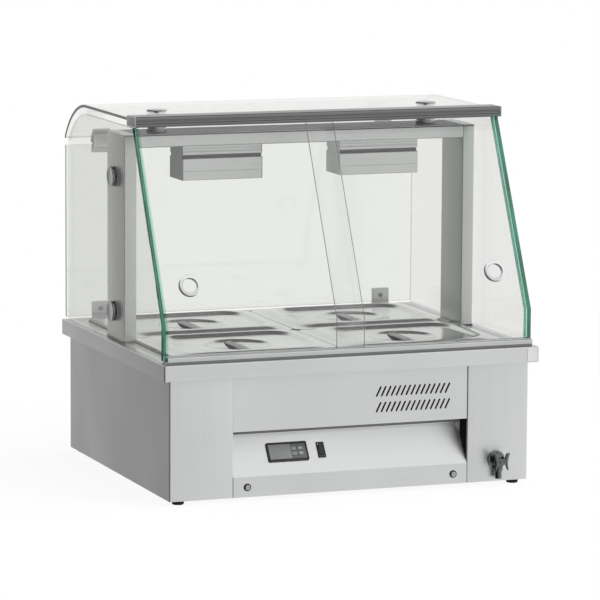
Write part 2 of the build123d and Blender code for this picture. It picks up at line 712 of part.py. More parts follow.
def lid(col, row):
    """Lid with a raised frame, a round dish in its middle and a strap handle across it."""
    x, y = pan_centre(col, row)
    w, d = PAN_PITCH_X - 4 * PAN_PLAY, PAN_PITCH_Y - 4 * PAN_PLAY
    panel = LID_Z + LID_T
    top = panel + LID_RISE
    out_w, out_d = w - 2 * LID_FLANGE_W, d - 2 * LID_FLANGE_W
    in_w, in_d = out_w - 2 * LID_FRAME_W, out_d - 2 * LID_FRAME_W
    t = LID_T
    cover = rounded_block(w, d, PAN_CORNER, LID_Z, panel, x, y)
    cover += rounded_block(out_w, out_d, LID_CORNER, LID_Z, top, x, y)
    under = rounded_block(out_w - 2 * t, out_d - 2 * t, LID_CORNER - t, LID_Z, top - t, x, y)
    under -= rounded_block(in_w + 2 * t, in_d + 2 * t, LID_CORNER + t, LID_Z, top, x, y)
    cover -= under
    cover -= rounded_block(in_w, in_d, LID_CORNER, panel, top, x, y)
    cover += rod_z(DISH_R + t, panel - DISH_DEPTH - t, panel, x, y)
    cover -= rod_z(DISH_R, panel - DISH_DEPTH, panel, x, y)
    reach = DISH_R + t / 2
    return cover + block(x - STRAP_W / 2, x + STRAP_W / 2, y - reach, y + reach, panel - STRAP_T, panel)


def post(s):
    """Upright box tube of the portal frame, closed at the top."""
    x0, x1 = s * POST_IN_X, s * POST_OUT_X
    tube = block(x0, x1, POST_Y0, POST_Y1, TOP_Z, BEAM_TOP_Z)
    t = TUBE_WALL
    tube -= block(x0 + s * t, x1 - s * t, POST_Y0 + t, POST_Y1 - t, TOP_Z, BEAM_TOP_Z - t)
    for z in DISC_Z:
        tube -= rod_x(DISC_BOLT_R, x1 - s * 2 * t, x1 + s * t, POST_MID_Y, z)
    return tube


def top_beam():
    """Box tube between the posts."""
    t = TUBE_WALL
    beam = block(-POST_IN_X, POST_IN_X, POST_Y0, POST_Y1, BEAM_Z, BEAM_TOP_Z)
    return beam - block(-POST_IN_X, POST_IN_X, POST_Y0 + t, POST_Y1 - t, BEAM_Z + t, BEAM_TOP_Z - t)


def lamp_housing(s):
    """Heat lamp housing: lower box, groove and upper foot, open below."""
    x0, x1 = s * LAMP_X - LAMP_W / 2, s * LAMP_X + LAMP_W / 2
    y0 = POST_Y0 + LAMP_SET
    y1 = y0 + LAMP_D
    z0 = BEAM_Z - LAMP_DROP
    z1 = z0 + LAMP_BOX_H
    z2 = z1 + LAMP_NECK_H
    n = LAMP_NECK_IN
    housing = block(x0, x1, y0, y1, z0, z1)
    housing += block(x0, x1, y0 + n, y1 - n, z1, z2)
    housing += block(x0, x1, y0 + LAMP_TOP_IN, y1 - LAMP_TOP_IN, z2, BEAM_Z)
    w = LAMP_WALL
    housing -= block(x0 + w, x1 - w, y0 + w, y1 - w, z0, z1 - w)
    return housing


def heat_lamp(s):
    """Quartz tube lamp with its two ceramic ends."""
    x0, x1 = s * LAMP_X - LAMP_W / 2 + LAMP_WALL, s * LAMP_X + LAMP_W / 2 - LAMP_WALL
    y = POST_Y0 + LAMP_SET + LAMP_D / 2
    z = BEAM_Z - LAMP_DROP + BULB_DROP
    lamp = rod_x(BULB_R, x0, x1, y, z)
    lamp += rod_x(BULB_END_R, x0, x0 + BULB_END_L, y, z)
    return lamp + rod_x(BULB_END_R, x1 - BULB_END_L, x1, y, z)


def side_glass(s):
    """Side pane that follows the doors in front and the roof behind."""
    z0 = TOP_Z + SIDE_FOOT_GAP
    z1 = ROOF_Z - SIDE_TOP_GAP
    r = z1 - ARC_Z
    y0 = DOOR_Y + DOOR_PITCH + DOOR_GLASS + SIDE_FRONT_GAP
    y1 = REAR_IN_Y - SIDE_REAR_GAP
    y_top = y0 + (z1 - BEND_Z) * SLOPE
    angle = math.degrees(math.asin((y1 - ROOF_BEND_Y) / r))
    edges = [line_yz((y0, z0), (y0, BEND_Z)), line_yz((y0, BEND_Z), (y_top, z1))]
    edges += [line_yz((y_top, z1), (ROOF_BEND_Y, z1)), arc_yz(r, 0, angle)]
    edges += [line_yz(arc_point(r, angle), (y1, z0)), line_yz((y1, z0), (y0, z0))]
    pane = prism_x(make_face(Curve() + edges), SIDE_IN_X, SIDE_OUT_X)
    if s < 0:
        pane = mirror(pane, about=Plane.YZ)
    for z in DISC_Z:
        pane -= rod_x(DISC_HOLE_R, s * POST_OUT_X, s * (SIDE_OUT_X + GLASS), POST_MID_Y, z)
    return pane


def glass_washers():
    """Soft washers between the posts and the side panes."""
    rings = []
    for s in (-1, 1):
        for z in DISC_Z:
            ring = rod_x(DISC_R, s * POST_OUT_X, s * SIDE_IN_X, POST_MID_Y, z)
            rings.append(ring - rod_x(DISC_HOLE_R, s * POST_OUT_X, s * SIDE_IN_X, POST_MID_Y, z))
    return Compound(children=rings)


def fixing_disc():
    """Disc on a threaded stud, the stud along -Z from the disc's seat at the origin."""
    disc = rod_z(DISC_R, 0, DISC_T, 0, 0)
    disc = chamfer(disc.edges().group_by(Axis.Z)[-1], DISC_T / 4)
    return disc + rod_z(DISC_BOLT_R, -DISC_BOLT_L, 0, 0, 0)


def glass_fixing_discs():
    """Six disc fixings: two on the roof and two on each side pane."""
    disc = fixing_disc()
    discs = [Pos(s * ROOF_FIX_X, POST_MID_Y, ROOF_TOP_Z) * disc for s in (-1, 1)]
    for s in (-1, 1):
        for z in DISC_Z:
            discs.append(Pos(s * SIDE_OUT_X, POST_MID_Y, z) * (Rot(0, s * 90, 0) * disc))
    return Compound(children=discs)


def roof_standoffs():
    """Two flanged spacers between the beam and the roof, bored for the disc studs."""
    spacers = []
    for s in (-1, 1):
        x = s * ROOF_FIX_X
        spacer = rod_z(STANDOFF_R, BEAM_TOP_Z, ROOF_Z, x, POST_MID_Y)
        spacer += rod_z(DISC_R, BEAM_TOP_Z, BEAM_TOP_Z + STANDOFF_FLANGE_T, x, POST_MID_Y)
        spacer += rod_z(DISC_R, ROOF_Z - STANDOFF_FLANGE_T, ROOF_Z, x, POST_MID_Y)
        spacer -= rod_z(DISC_BOLT_R, ROOF_TOP_Z - DISC_BOLT_L, ROOF_Z, x, POST_MID_Y)
        spacers.append(spacer)
    return Compound(children=spacers)


def roof_glass():
    """Flat roof pane that bends down at the rear."""
    y0 = TRACK_BACK - TRACK_GRIP
    start = (y0, ROOF_TOP_Z)
    edges = [line_yz(start, (ROOF_BEND_Y, ROOF_TOP_Z)), arc_yz(ROOF_R, 0, ROOF_ARC)]
    edges += [line_yz(arc_point(ROOF_R, ROOF_ARC), arc_point(ROOF_R - GLASS, ROOF_ARC))]
    edges += [arc_yz(ROOF_R - GLASS, ROOF_ARC, 0), line_yz((ROOF_BEND_Y, ROOF_Z), (y0, ROOF_Z))]
    edges += [line_yz((y0, ROOF_Z), start)]
    pane = prism_x(make_face(Curve() + edges), -GLASS_HALF_W, GLASS_HALF_W)
    for s in (-1, 1):
        pane -= rod_z(DISC_HOLE_R, ROOF_Z, ROOF_TOP_Z, s * ROOF_FIX_X, POST_MID_Y)
    return pane


def top_track():
    """Door track on the roof's front edge, with two grooves below and one behind."""
    x = TRACK_HALF_W
    track = block(-x, x, TRACK_FRONT, TRACK_BACK, TRACK_Z, TRACK_TOP_Z)
    for i in range(2):
        y = TRACK_DOOR_Y - GROOVE_PLAY + i * DOOR_PITCH
        track -= block(-x, x, y, y + TRACK_GROOVE_W, TRACK_Z, TRACK_Z + TRACK_GROOVE_D)
    return track - block(-x, x, TRACK_BACK - TRACK_GRIP, TRACK_BACK, ROOF_Z, ROOF_TOP_Z)


def track_end_caps():
    """Plain caps on both ends of the track."""
    x0, x1 = TRACK_HALF_W, TRACK_HALF_W + CAP_T
    caps = [block(s * x0, s * x1, TRACK_FRONT, TRACK_BACK, TRACK_Z, TRACK_TOP_Z) for s in (-1, 1)]
    return Compound(children=caps)


def rear_glass():
    """Upright rear pane that swings on its two hinges."""
    z0 = TOP_Z + REAR_FOOT_GAP
    return block(-GLASS_HALF_W, GLASS_HALF_W, REAR_IN_Y, REAR_OUT_Y, z0, REAR_TOP_Z)


def hinge_fixed_leaves():
    """Hinge halves on the roof's rear bend, each with two knuckles and the pin."""
    r_in = ROOF_R - GLASS
    plate = [arc_point(r_in, a) for a in (ROOF_ARC - 8.5, ROOF_ARC - 1.6)]
    plate += [arc_point(r_in - LEAF_T, a) for a in (ROOF_ARC - 1.6, ROOF_ARC - 8.5)]
    arm = [plate[2], plate[1], (HINGE_Y, HINGE_Z + KNUCKLE_R), (HINGE_Y - KNUCKLE_R, HINGE_Z)]
    inner = HINGE_W / 6
    leaves = []
    for s in (-1, 1):
        x = s * HINGE_X
        x0, x1 = x - HINGE_W / 2, x + HINGE_W / 2
        leaf = prism_x(polygon_yz(plate), x0, x1)
        for a, b in ((x0, x - inner), (x + inner, x1)):
            leaf += prism_x(polygon_yz(arm), a, b)
            leaf += rod_x(KNUCKLE_R, a, b, HINGE_Y, HINGE_Z)
        leaf += rod_x(HINGE_PIN_R, x0, x1, HINGE_Y, HINGE_Z)
        leaves.append(leaf)
    return Compound(children=leaves)


def hinge_moving_leaves():
    """Hinge halves on the rear pane, each with one bored knuckle."""
    half = HINGE_W / 6 - KNUCKLE_GAP
    z1 = REAR_TOP_Z
    arm = [(REAR_IN_Y - LEAF_T, z1), (REAR_IN_Y, z1), (HINGE_Y + KNUCKLE_R, HINGE_Z)]
    arm += [(HINGE_Y - KNUCKLE_R, HINGE_Z)]
    leaves = []
    for s in (-1, 1):
        x = s * HINGE_X
        x0, x1 = x - HINGE_W / 2, x + HINGE_W / 2
        leaf = block(x0, x1, REAR_IN_Y - LEAF_T, REAR_IN_Y, z1 - LEAF_H, z1)
        leaf += prism_x(polygon_yz(arm), x - half, x + half)
        leaf += rod_x(KNUCKLE_R, x - half, x + half, HINGE_Y, HINGE_Z)
        leaves.append(leaf - rod_x(HINGE_PIN_R + PIN_CLEAR, x0, x1, HINGE_Y, HINGE_Z))
    return Compound(children=leaves)


def rear_glass_stops():
    """Two stop blocks on the worktop that the rear pane rests against."""
    stops = []
    y1 = REAR_IN_Y - REST_GAP
    for s in (-1, 1):
        x0, x1 = s * HINGE_X - HINGE_W / 2, s * HINGE_X + HINGE_W / 2
        stop = block(x0, x1, y1 - STOP_D, y1, TOP_Z, TOP_Z + STOP_FOOT_T)
        stop += block(x0, x1, y1 - STOP_T, y1, TOP_Z, TOP_Z + STOP_H)
        stops.append(stop)
    return Compound(children=stops)


def door_place(s):
    """Outer face of a door at the rail: the left door is the front one."""
    return DOOR_Y + (DOOR_PITCH if s > 0 else 0.0)


def pull_frame(s):
    """Centre of a finger pull on a door's outer face, its Z out of the glass."""
    y = door_place(s) + (PULL_Z - BEND_Z) * SLOPE
    return Location((s * PULL_X, y, PULL_Z), (90 - DOOR_SLOPE, 0, 0))


def door(s):
    """Bent sliding pane with the hole of its finger pull."""
    y = door_place(s)
    top = (y + (DOOR_TOP_Z - BEND_Z) * SLOPE, DOOR_TOP_Z)
    outer = [(y, DOOR_Z), (y, BEND_Z), top]
    inner_top = (top[0] + SLOPE_T, DOOR_TOP_Z)
    bend_in = BEND_Z + (DOOR_GLASS - SLOPE_T) / SLOPE
    inner = [(y + DOOR_GLASS, DOOR_Z), (y + DOOR_GLASS, bend_in), inner_top]
    front = FilletPolyline(*[(0, *p) for p in outer], radius=DOOR_BEND_R)
    back = FilletPolyline(*[(0, *p) for p in inner], radius=DOOR_BEND_R - DOOR_GLASS)
    ends = [line_yz(outer[0], inner[0]), line_yz(outer[2], inner[2])]
    x0 = -DOOR_HALF_W if s < 0 else DOOR_HALF_W - DOOR_W
    pane = prism_x(make_face(Curve() + [front, back] + ends), x0, x0 + DOOR_W)
    hole = pull_frame(s) * Cylinder(PULL_NECK_R + PIN_CLEAR, 4 * DOOR_GLASS)
    return pane - hole


def door_pull(s):
    """Ring grip through a door, with a thin flange on both faces."""
    t = DOOR_GLASS
    ring = rod_z(PULL_NECK_R, -t, 0, 0, 0)
    ring += rod_z(PULL_R, 0, PULL_FLANGE_T, 0, 0)
    ring += rod_z(PULL_R, -t - PULL_FLANGE_T, -t, 0, 0)
    ring -= rod_z(PULL_BORE_R, -t - PULL_FLANGE_T, PULL_FLANGE_T, 0, 0)
    return pull_frame(s) * ring


def all_parts():
    """Every node by name."""
    nodes = {
        "worktop": worktop(), "front_rail": front_rail(), "water_tank": water_tank(),
        "pan_support_bars": support_bars(), "left_side_panel": side_panel(-1),
        "right_side_panel": side_panel(1), "back_panel": back_panel(), "base_plate": base_plate(),
        "vent_panel": vent_panel(), "control_panel": control_panel(), "panel_screws": panel_screws(),
        "feet": feet(), "blank_badge": blank_badge(), "controller_housing": controller_housing(),
        "controller_window": controller_window(), "switch_frame": switch_frame(),
        "switch_rocker": switch_rocker(), "drain_valve_body": drain_valve_body(),
        "drain_valve_plug": drain_valve_plug(), "drain_pipe": drain_pipe(),
        "heating_element": heating_element(), "temperature_probe": temperature_probe(),
        "safety_thermostat": safety_thermostat(), "terminal_block": terminal_block(),
        "cable_gland": cable_gland(), "left_post": post(-1), "right_post": post(1),
        "top_beam": top_beam(), "left_side_glass": side_glass(-1), "right_side_glass": side_glass(1),
        "glass_washers": glass_washers(), "glass_fixing_discs": glass_fixing_discs(),
        "roof_standoffs": roof_standoffs(), "roof_glass": roof_glass(), "top_track": top_track(),
        "track_end_caps": track_end_caps(), "rear_glass": rear_glass(),
        "rear_hinge_fixed_leaves": hinge_fixed_leaves(),
        "rear_hinge_moving_leaves": hinge_moving_leaves(), "rear_glass_stops": rear_glass_stops(),
    }
    for name, place in zip(("set", "up", "standby", "down"), button_places()):
        nodes["controller_button_" + name] = controller_button(place)
    for side, s in (("left", -1), ("right", 1)):
        nodes[side + "_lamp_housing"] = lamp_housing(s)
        nodes[side + "_heat_lamp"] = heat_lamp(s)
        nodes[side + "_door"] = door(s)
        nodes[side + "_door_pull"] = door_pull(s)
        for row_name, row in (("front", -1), ("rear", 1)):
            nodes[row_name + "_" + side + "_pan"] = pan(s, row)
            nodes[row_name + "_" + side + "_lid"] = lid(s, row)
    return nodes


for name, shape in all_parts().items():
    export_step(shape, "parts/" + name + ".step")
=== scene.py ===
"""Looks of a countertop bain-marie display case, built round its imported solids.

Sizes in the classes are millimetres in the part's frame: X to the right seen from the service side, -Y towards
that side, Z up, the counter at Z = 0. Meshes are written in metres.
"""

from __future__ import annotations

import json
import logging
import math
from collections.abc import Sequence
from dataclasses import dataclass, field
from enum import Enum
from typing import Any

import bmesh
import bpy
import numpy as np
from mathutils import Matrix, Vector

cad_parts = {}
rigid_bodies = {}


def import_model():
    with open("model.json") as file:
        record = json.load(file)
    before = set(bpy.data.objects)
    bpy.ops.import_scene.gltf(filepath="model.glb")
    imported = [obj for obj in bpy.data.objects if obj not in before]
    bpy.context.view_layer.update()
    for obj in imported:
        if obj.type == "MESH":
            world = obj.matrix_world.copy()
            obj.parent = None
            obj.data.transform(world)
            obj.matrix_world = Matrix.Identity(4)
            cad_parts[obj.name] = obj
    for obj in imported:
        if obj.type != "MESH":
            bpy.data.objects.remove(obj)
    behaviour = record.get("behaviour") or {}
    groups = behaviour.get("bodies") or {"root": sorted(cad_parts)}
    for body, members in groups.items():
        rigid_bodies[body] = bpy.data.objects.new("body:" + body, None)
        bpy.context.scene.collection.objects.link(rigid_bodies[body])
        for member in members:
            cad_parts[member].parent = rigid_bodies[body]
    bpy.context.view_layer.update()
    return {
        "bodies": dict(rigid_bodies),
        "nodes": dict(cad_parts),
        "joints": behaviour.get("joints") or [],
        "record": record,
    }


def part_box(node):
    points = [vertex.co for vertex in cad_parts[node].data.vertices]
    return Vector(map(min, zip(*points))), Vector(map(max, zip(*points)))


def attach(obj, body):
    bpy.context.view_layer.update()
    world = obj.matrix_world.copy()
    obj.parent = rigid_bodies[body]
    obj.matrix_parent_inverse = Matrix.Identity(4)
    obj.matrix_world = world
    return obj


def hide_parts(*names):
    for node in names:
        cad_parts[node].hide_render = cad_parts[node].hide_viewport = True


MM = 0.001
FORWARDS = (0.0, -1.0, 0.0)
UP = (0.0, 0.0, 1.0)
Point2 = tuple[float, float]
Point3 = tuple[float, float, float]
Socket = bpy.types.NodeSocket
Tree = bpy.types.NodeTree
log = logging.getLogger("display_case")


class Named(Enum):
    """Place whose lower-case name stands in node names."""

    @property
    def word(self) -> str:
        """The place's name in node names."""
        return self.name.lower()


class Side(Named):
    """Which half of the case a mirrored piece belongs to."""

    LEFT = -1
    RIGHT = 1


class Row(Named):
    """Row of the pan well, counted from the service side."""

    FRONT = -1
    REAR = 1


class Grain(Enum):
    """Direction in which a sheet was brushed, as how finely the grain repeats along X, Y and Z (per metre)."""

    ALONG_X = (6.0, 700.0, 700.0)
    ALONG_Y = (700.0, 6.0, 700.0)
    ALONG_Z = (700.0, 700.0, 6.0)
    SATIN = (260.0, 260.0, 260.0)


# ---------------------------------------------------------------- materials


def linear(colour: str) -> tuple[float, float, float, float]:
    """Turn an sRGB colour, six hex digits after a hash sign, into linear light with an alpha of one."""
    parts = [int(colour[i : i + 2], 16) / 255 for i in (1, 3, 5)]
    out = [c / 12.92 if c <= 0.04045 else ((c + 0.055) / 1.055) ** 2.4 for c in parts]
    return (out[0], out[1], out[2], 1.0)


def add(tree: Tree, kind: str, inputs: dict[Any, Any] | None = None, **settings: Any) -> bpy.types.Node:
    """Add one shader node with its settings, values and links.

    Args:
        tree: the node tree to add to.
        kind: the node's type name, without the leading "ShaderNode".
        inputs: values or output sockets by input name or number.
        settings: attributes of the node itself.

    Returns:
        The new node.
    """
    node = tree.nodes.new("ShaderNode" + kind)
    for key, value in settings.items():
        setattr(node, key, value)
    for key, value in (inputs or {}).items():
        if isinstance(value, Socket):
            tree.links.new(value, node.inputs[key])
        else:
            node.inputs[key].default_value = value
    return node


def whereabouts(tree: Tree) -> Socket:
    """The point's place in the object, in metres."""
    return add(tree, "TexCoord").outputs["Object"]


def noise(tree: Tree, place: Socket, scale: float, detail: float = 2.0, rough: float = 0.5) -> Socket:
    """Fractal noise of a place."""
    return add(tree, "TexNoise", {"Vector": place, "Scale": scale, "Detail": detail, "Roughness": rough}).outputs[0]


def ramp(tree: Tree, value: Socket, start: float, end: float, low: float = 0.0, high: float = 1.0,
         curve: str = "LINEAR") -> Socket:
    """Map a value that runs from start to end to low up to high."""
    return add(tree, "MapRange", {0: value, 1: start, 2: end, 3: low, 4: high}, interpolation_type=curve).outputs[0]


def calc(tree: Tree, operation: str, first: Any, second: Any = 0.5) -> Socket:
    """One sum of two values."""
    return add(tree, "Math", {0: first, 1: second}, operation=operation).outputs[0]


def blend(tree: Tree, share: Socket, first: str | Socket, second: str | Socket) -> Socket:
    """Mix two colours."""
    ends = [linear(c) if isinstance(c, str) else c for c in (first, second)]
    return add(tree, "Mix", {0: share, 6: ends[0], 7: ends[1]}, data_type="RGBA").outputs[2]


def bumped(tree: Tree, strength: float, distance: float, height: Socket) -> Socket:
    """Normal of a surface with a relief."""
    return add(tree, "Bump", {"Strength": strength, "Distance": distance, "Height": height}).outputs[0]


def surface(tree: Tree, colour: Socket, rough: Any, **more: Any) -> Socket:
    """Solid surface; further inputs by name, with underscores for spaces."""
    inputs = {"Base Color": colour, "Roughness": rough, **{k.replace("_", " "): v for k, v in more.items()}}
    return add(tree, "BsdfPrincipled", inputs).outputs[0]


def see_through(tree: Tree, colour: str) -> Socket:
    """Surface that lets light through in a tint."""
    return add(tree, "BsdfTransparent", {"Color": linear(colour)}).outputs[0]


def mixed(tree: Tree, share: Socket, first: Socket, second: Socket) -> Socket:
    """Mix two shaders."""
    return add(tree, "MixShader", {0: share, 1: first, 2: second}).outputs[0]


@dataclass(frozen=True)
class Finish:
    """A surface finish: a name, and a method that wires it."""

    name: str

    def wire(self, tree: Tree) -> Socket:
        """Build the shader and return its output."""
        raise NotImplementedError

    def material(self) -> bpy.types.Material:
        """Return the finish's material, made once."""
        found = bpy.data.materials.get(self.name)
        if found is not None:
            return found
        made = bpy.data.materials.new(self.name)
        made.use_nodes = True
        made.node_tree.nodes.clear()
        add(made.node_tree, "OutputMaterial", {"Surface": self.wire(made.node_tree)})
        return made


@dataclass(frozen=True)
class BrushedSteel(Finish):
    """Brushed stainless sheet: long fine grain from an abrasive belt, drawn at about 2 mm so that it shows, with
    faint wiped patches some 150 mm wide, and a roughness that the grain moves up and down."""

    dark: str = "#D2D3D3"
    light: str = "#DADBDB"
    grain: Grain = Grain.ALONG_X
    roughness: float = 0.36
    swing: float = 0.05
    relief: float = 0.03

    def wire(self, tree: Tree) -> Socket:
        """Mix two greys along the grain and bump the surface with it."""
        place = whereabouts(tree)
        stretched = add(tree, "Mapping", {"Vector": place, "Scale": self.grain.value}).outputs[0]
        grain = noise(tree, stretched, 1.0, 3.0, 0.6)
        both = calc(tree, "ADD", grain, noise(tree, place, 7.0))
        colour = blend(tree, ramp(tree, both, 0.7, 1.3), self.dark, self.light)
        rough = ramp(tree, both, 0.7, 1.3, self.roughness - self.swing, self.roughness + self.swing)
        return surface(tree, colour, rough, Metallic=1.0, Normal=bumped(tree, self.relief, 0.0004, grain))


@dataclass(frozen=True)
class MouldedPlastic(Finish):
    """Injection-moulded plastic: an even colour with a fine eroded texture of about half a millimetre."""

    colour: str = "#1B1C1E"
    worn: str = "#2A2B2D"
    roughness: float = 0.45
    gloss: float = 0.5

    def wire(self, tree: Tree) -> Socket:
        """Fine grain in the bump, slow patches in the colour and roughness."""
        place = whereabouts(tree)
        slow = noise(tree, place, 60.0, 3.0)
        rough = ramp(tree, slow, 0.3, 0.7, self.roughness - 0.05, self.roughness + 0.08)
        relief = bumped(tree, 0.12, 0.0002, noise(tree, place, 1800.0))
        colour = blend(tree, slow, self.colour, self.worn)
        return surface(tree, colour, rough, IOR=1.53, Specular_IOR_Level=self.gloss, Normal=relief)


@dataclass(frozen=True)
class FloatGlass(Finish):
    """Clear float glass seen through both faces: it lets light through with a faint tint and mirrors more at a slant.
    Towards one polished end, given in X, a pale green halo and then a dark green band are painted on the face: painted
    refraction of the edge."""

    tint: str = "#FAFAF9"
    end: float = 0.0
    halo: float = 0.0
    dark: float = 0.0

    def wire(self, tree: Tree) -> Socket:
        """Mix a tinted see-through shader with a mirror by how slanted the view is."""
        facing_away = add(tree, "LayerWeight", {"Blend": 0.5}).outputs["Facing"]
        share = ramp(tree, calc(tree, "POWER", facing_away, 5.0), 0.0, 1.0, 0.04, 0.78)
        place = whereabouts(tree)
        sheen = ramp(tree, noise(tree, place, 9.0), 0.3, 0.7, 0.0, 0.03)
        mirror = add(tree, "BsdfAnisotropic", {"Color": (0.96, 0.97, 0.96, 1.0), "Roughness": sheen}).outputs[0]
        pane = mixed(tree, share, see_through(tree, self.tint), mirror)
        if self.end == 0.0:
            return pane
        # Painted refraction: a pale halo and a dark green band painted onto the face by distance from the outer end.
        across = add(tree, "SeparateXYZ", {0: place}).outputs[0]
        past = calc(tree, "MULTIPLY", across, math.copysign(1.0, self.end))
        edge = (abs(self.end) - self.dark) * MM
        start = (abs(self.end) - self.dark - self.halo) * MM
        soft = ramp(tree, past, start, start + 0.0015, 0.0, 0.55)
        halo = mixed(tree, soft, pane, see_through(tree, "#A9E6D2"))
        hard = ramp(tree, past, edge, edge + 0.001, 0.0, 0.8)
        tone = ramp(tree, noise(tree, place, 12.0), 0.35, 0.65)
        core = surface(tree, blend(tree, tone, "#1B5F4C", "#2E8D70"), 0.15)
        return mixed(tree, hard, halo, core)


@dataclass(frozen=True)
class GroundEdge(Finish):
    """Ground and polished glass edge: light gathered inside the pane leaves it here, in darker and paler runs. Seen
    from inside the pane it passes light. Closer to the middle than a given X it is ground pale instead."""

    deep: str = "#0E5F48"
    pale: str = "#2FA27F"
    run: float = 14.0
    through: float = 0.85
    from_x: float = 0.0

    def wire(self, tree: Tree) -> Socket:
        """Long runs of two tones under a clear polish, let through from the back."""
        place = whereabouts(tree)
        tone = ramp(tree, noise(tree, place, self.run, 3.0), 0.38, 0.62)
        colour = blend(tree, tone, self.deep, self.pale)
        if self.from_x > 0.0:
            far = calc(tree, "ABSOLUTE", add(tree, "SeparateXYZ", {0: place}).outputs[0])
            colour = blend(tree, calc(tree, "LESS_THAN", far, self.from_x * MM), colour, "#9FA6A2")
        face = surface(tree, colour, 0.14, IOR=1.52, Coat_Weight=0.3)
        behind = add(tree, "NewGeometry").outputs["Backfacing"]
        return mixed(tree, calc(tree, "MULTIPLY", behind, self.through), face, see_through(tree, "#EDF1EE"))


@dataclass(frozen=True)
class QuartzLamp(Finish):
    """Frosted quartz tube: cream with fine frosting."""

    def wire(self, tree: Tree) -> Socket:
        """Mix two creams by the frosting and bump the surface with it."""
        frost = noise(tree, whereabouts(tree), 900.0)
        colour = blend(tree, frost, "#D9D4C6", "#F2EEE2")
        return surface(tree, colour, 0.35, IOR=1.46, Normal=bumped(tree, 0.2, 0.0002, frost))


# Cold-rolled stainless sheet, belt-brushed: soft streaks along the grain.
SHEET_X = BrushedSteel("stainless_sheet_brushed_along_x")
SHEET_Z = BrushedSteel("stainless_sheet_brushed_upright", grain=Grain.ALONG_Z)
# Box tube of the portal, brushed a little finer and slightly darker. The beam's upper face is duller and painted much
# darker: painted shade on the top face.
TUBE_X = BrushedSteel("stainless_tube_brushed_along_x", "#C8CAC8", "#CFD1CF", Grain.ALONG_X, 0.32)
TUBE_Z = BrushedSteel("stainless_tube_brushed_upright", "#C4C7C4", "#CBCECB", Grain.ALONG_Z, 0.32)
TUBE_TOP = BrushedSteel("steel_tube_dull_top", "#636564", "#6F7170", Grain.ALONG_X, 0.45, 0.04, 0.03)
# Deep-drawn stainless, bright annealed: tight reflections with a trace of drawing marks.
PRESSED = BrushedSteel("stainless_pressed_bright", "#D3D4D4", "#E2E3E3", Grain.SATIN, 0.15, 0.03, 0.03)
# Welded tank: pickled and dull.
TANK_STEEL = BrushedSteel("stainless_tank_pickled", "#A9AAA9", "#BCBDBC", Grain.SATIN, 0.4, 0.06, 0.05)
# Strap across the dish: rolled, rougher and a much darker grey than the pressing round it.
STRAP = BrushedSteel("stainless_strap_rolled", "#6F7170", "#828483", Grain.ALONG_Y, 0.28, 0.05, 0.03)
# Turned or cast fittings with a satin polish.
FITTING = BrushedSteel("stainless_fitting_satin", "#A6A8A7", "#B8BAB9", Grain.SATIN, 0.25, 0.05, 0.05)
# A darker copy of the fitting finish: painted shade, used on the left lamp's end plates and on the stop screws.
DARK_FITTING = BrushedSteel("stainless_fitting_shaded", "#6E7170", "#868988", Grain.SATIN, 0.32, 0.05, 0.05)
# Extruded aluminium, etched and anodised in three greys: even, with faint die lines along X.
ANODISED = BrushedSteel("aluminium_extruded_anodised", "#C0C2C1", "#CBCDCC", Grain.ALONG_X, 0.3, 0.04, 0.03)
LAMP_METAL = BrushedSteel("aluminium_extruded_grey_anodised", "#C6C8C6", "#CFD1CF", Grain.ALONG_X, 0.3, 0.04, 0.03)
TRACK_METAL = BrushedSteel("aluminium_extruded_dark_anodised", "#747674", "#808280", Grain.ALONG_X, 0.3, 0.04, 0.03)
# Brass with a dark bright-nickel plate.
NICKEL = BrushedSteel("brass_nickel_plated", "#5E6062", "#77797B", Grain.SATIN, 0.1, 0.04, 0.03)
# Sheathed element: heat-tinted steel tube.
ELEMENT = BrushedSteel("element_sheath_heat_tinted", "#5C5650", "#7A7268", Grain.SATIN, 0.42, 0.08, 0.08)
CLEAR = FloatGlass("float_glass_clear")
REAR_CLEAR = FloatGlass("float_glass_rear", "#F5F6F4")
# Door panes carry the painted refraction of their outer end, of a different width left and right.
DOOR_LEFT = FloatGlass("float_glass_left_door", "#FDFDFD", end=-359.0, halo=5.0, dark=2.6)
DOOR_RIGHT = FloatGlass("float_glass_right_door", "#FDFDFD", end=359.0, halo=6.0, dark=6.5)
EDGE_DOOR = GroundEdge("glass_edge_polished_door", through=0.2, from_x=340.0)
# The same sloped glass edge is given a dark green on the left side pane and a pale mint on the right: painted light,
# for how light leaves each edge.
EDGE_GREEN = GroundEdge("glass_edge_polished_green", "#125C48", "#2B8A6D", through=0.75)
EDGE_MINT = GroundEdge("glass_edge_polished_mint", "#A8C9BD", "#C3DDD3", through=0.6)
EDGE_GREY = GroundEdge("glass_edge_polished_grey", "#3F4543", "#666D6A", 10.0)
EDGE_LINE = GroundEdge("glass_edge_polished_soft", "#8F9692", "#B4BBB7", 10.0)
EDGE_PALE = GroundEdge("glass_edge_ground_pale", "#C4CAC6", "#D9DEDB", 10.0)
BLACK_PLASTIC = MouldedPlastic("abs_moulded_black")
GREY_PLASTIC = MouldedPlastic("abs_moulded_grey", "#5E6061", "#6C6E6F", 0.4)
KEY_PLASTIC = MouldedPlastic("keypad_moulded_grey", "#8A8B8C", "#989A9B", 0.5)
WINDOW = MouldedPlastic("acrylic_window_smoked", "#88898A", "#919293", 0.3, 0.4)
RUBBER = MouldedPlastic("rubber_moulded_black", "#121213", "#1F1F20", 0.7, 0.3)
CAP_PLASTIC = MouldedPlastic("cap_moulded_light_grey", "#A9ABA9", "#B5B7B5", 0.4)
# Dark moulded grey for the grub screws and the well's gasket; on the gasket the dark also stands in for the shadow gap
# round the pan rims, as painted shade.
GASKET = MouldedPlastic("gasket_moulded_dark", "#2B2C2C", "#363737", 0.6, 0.3)
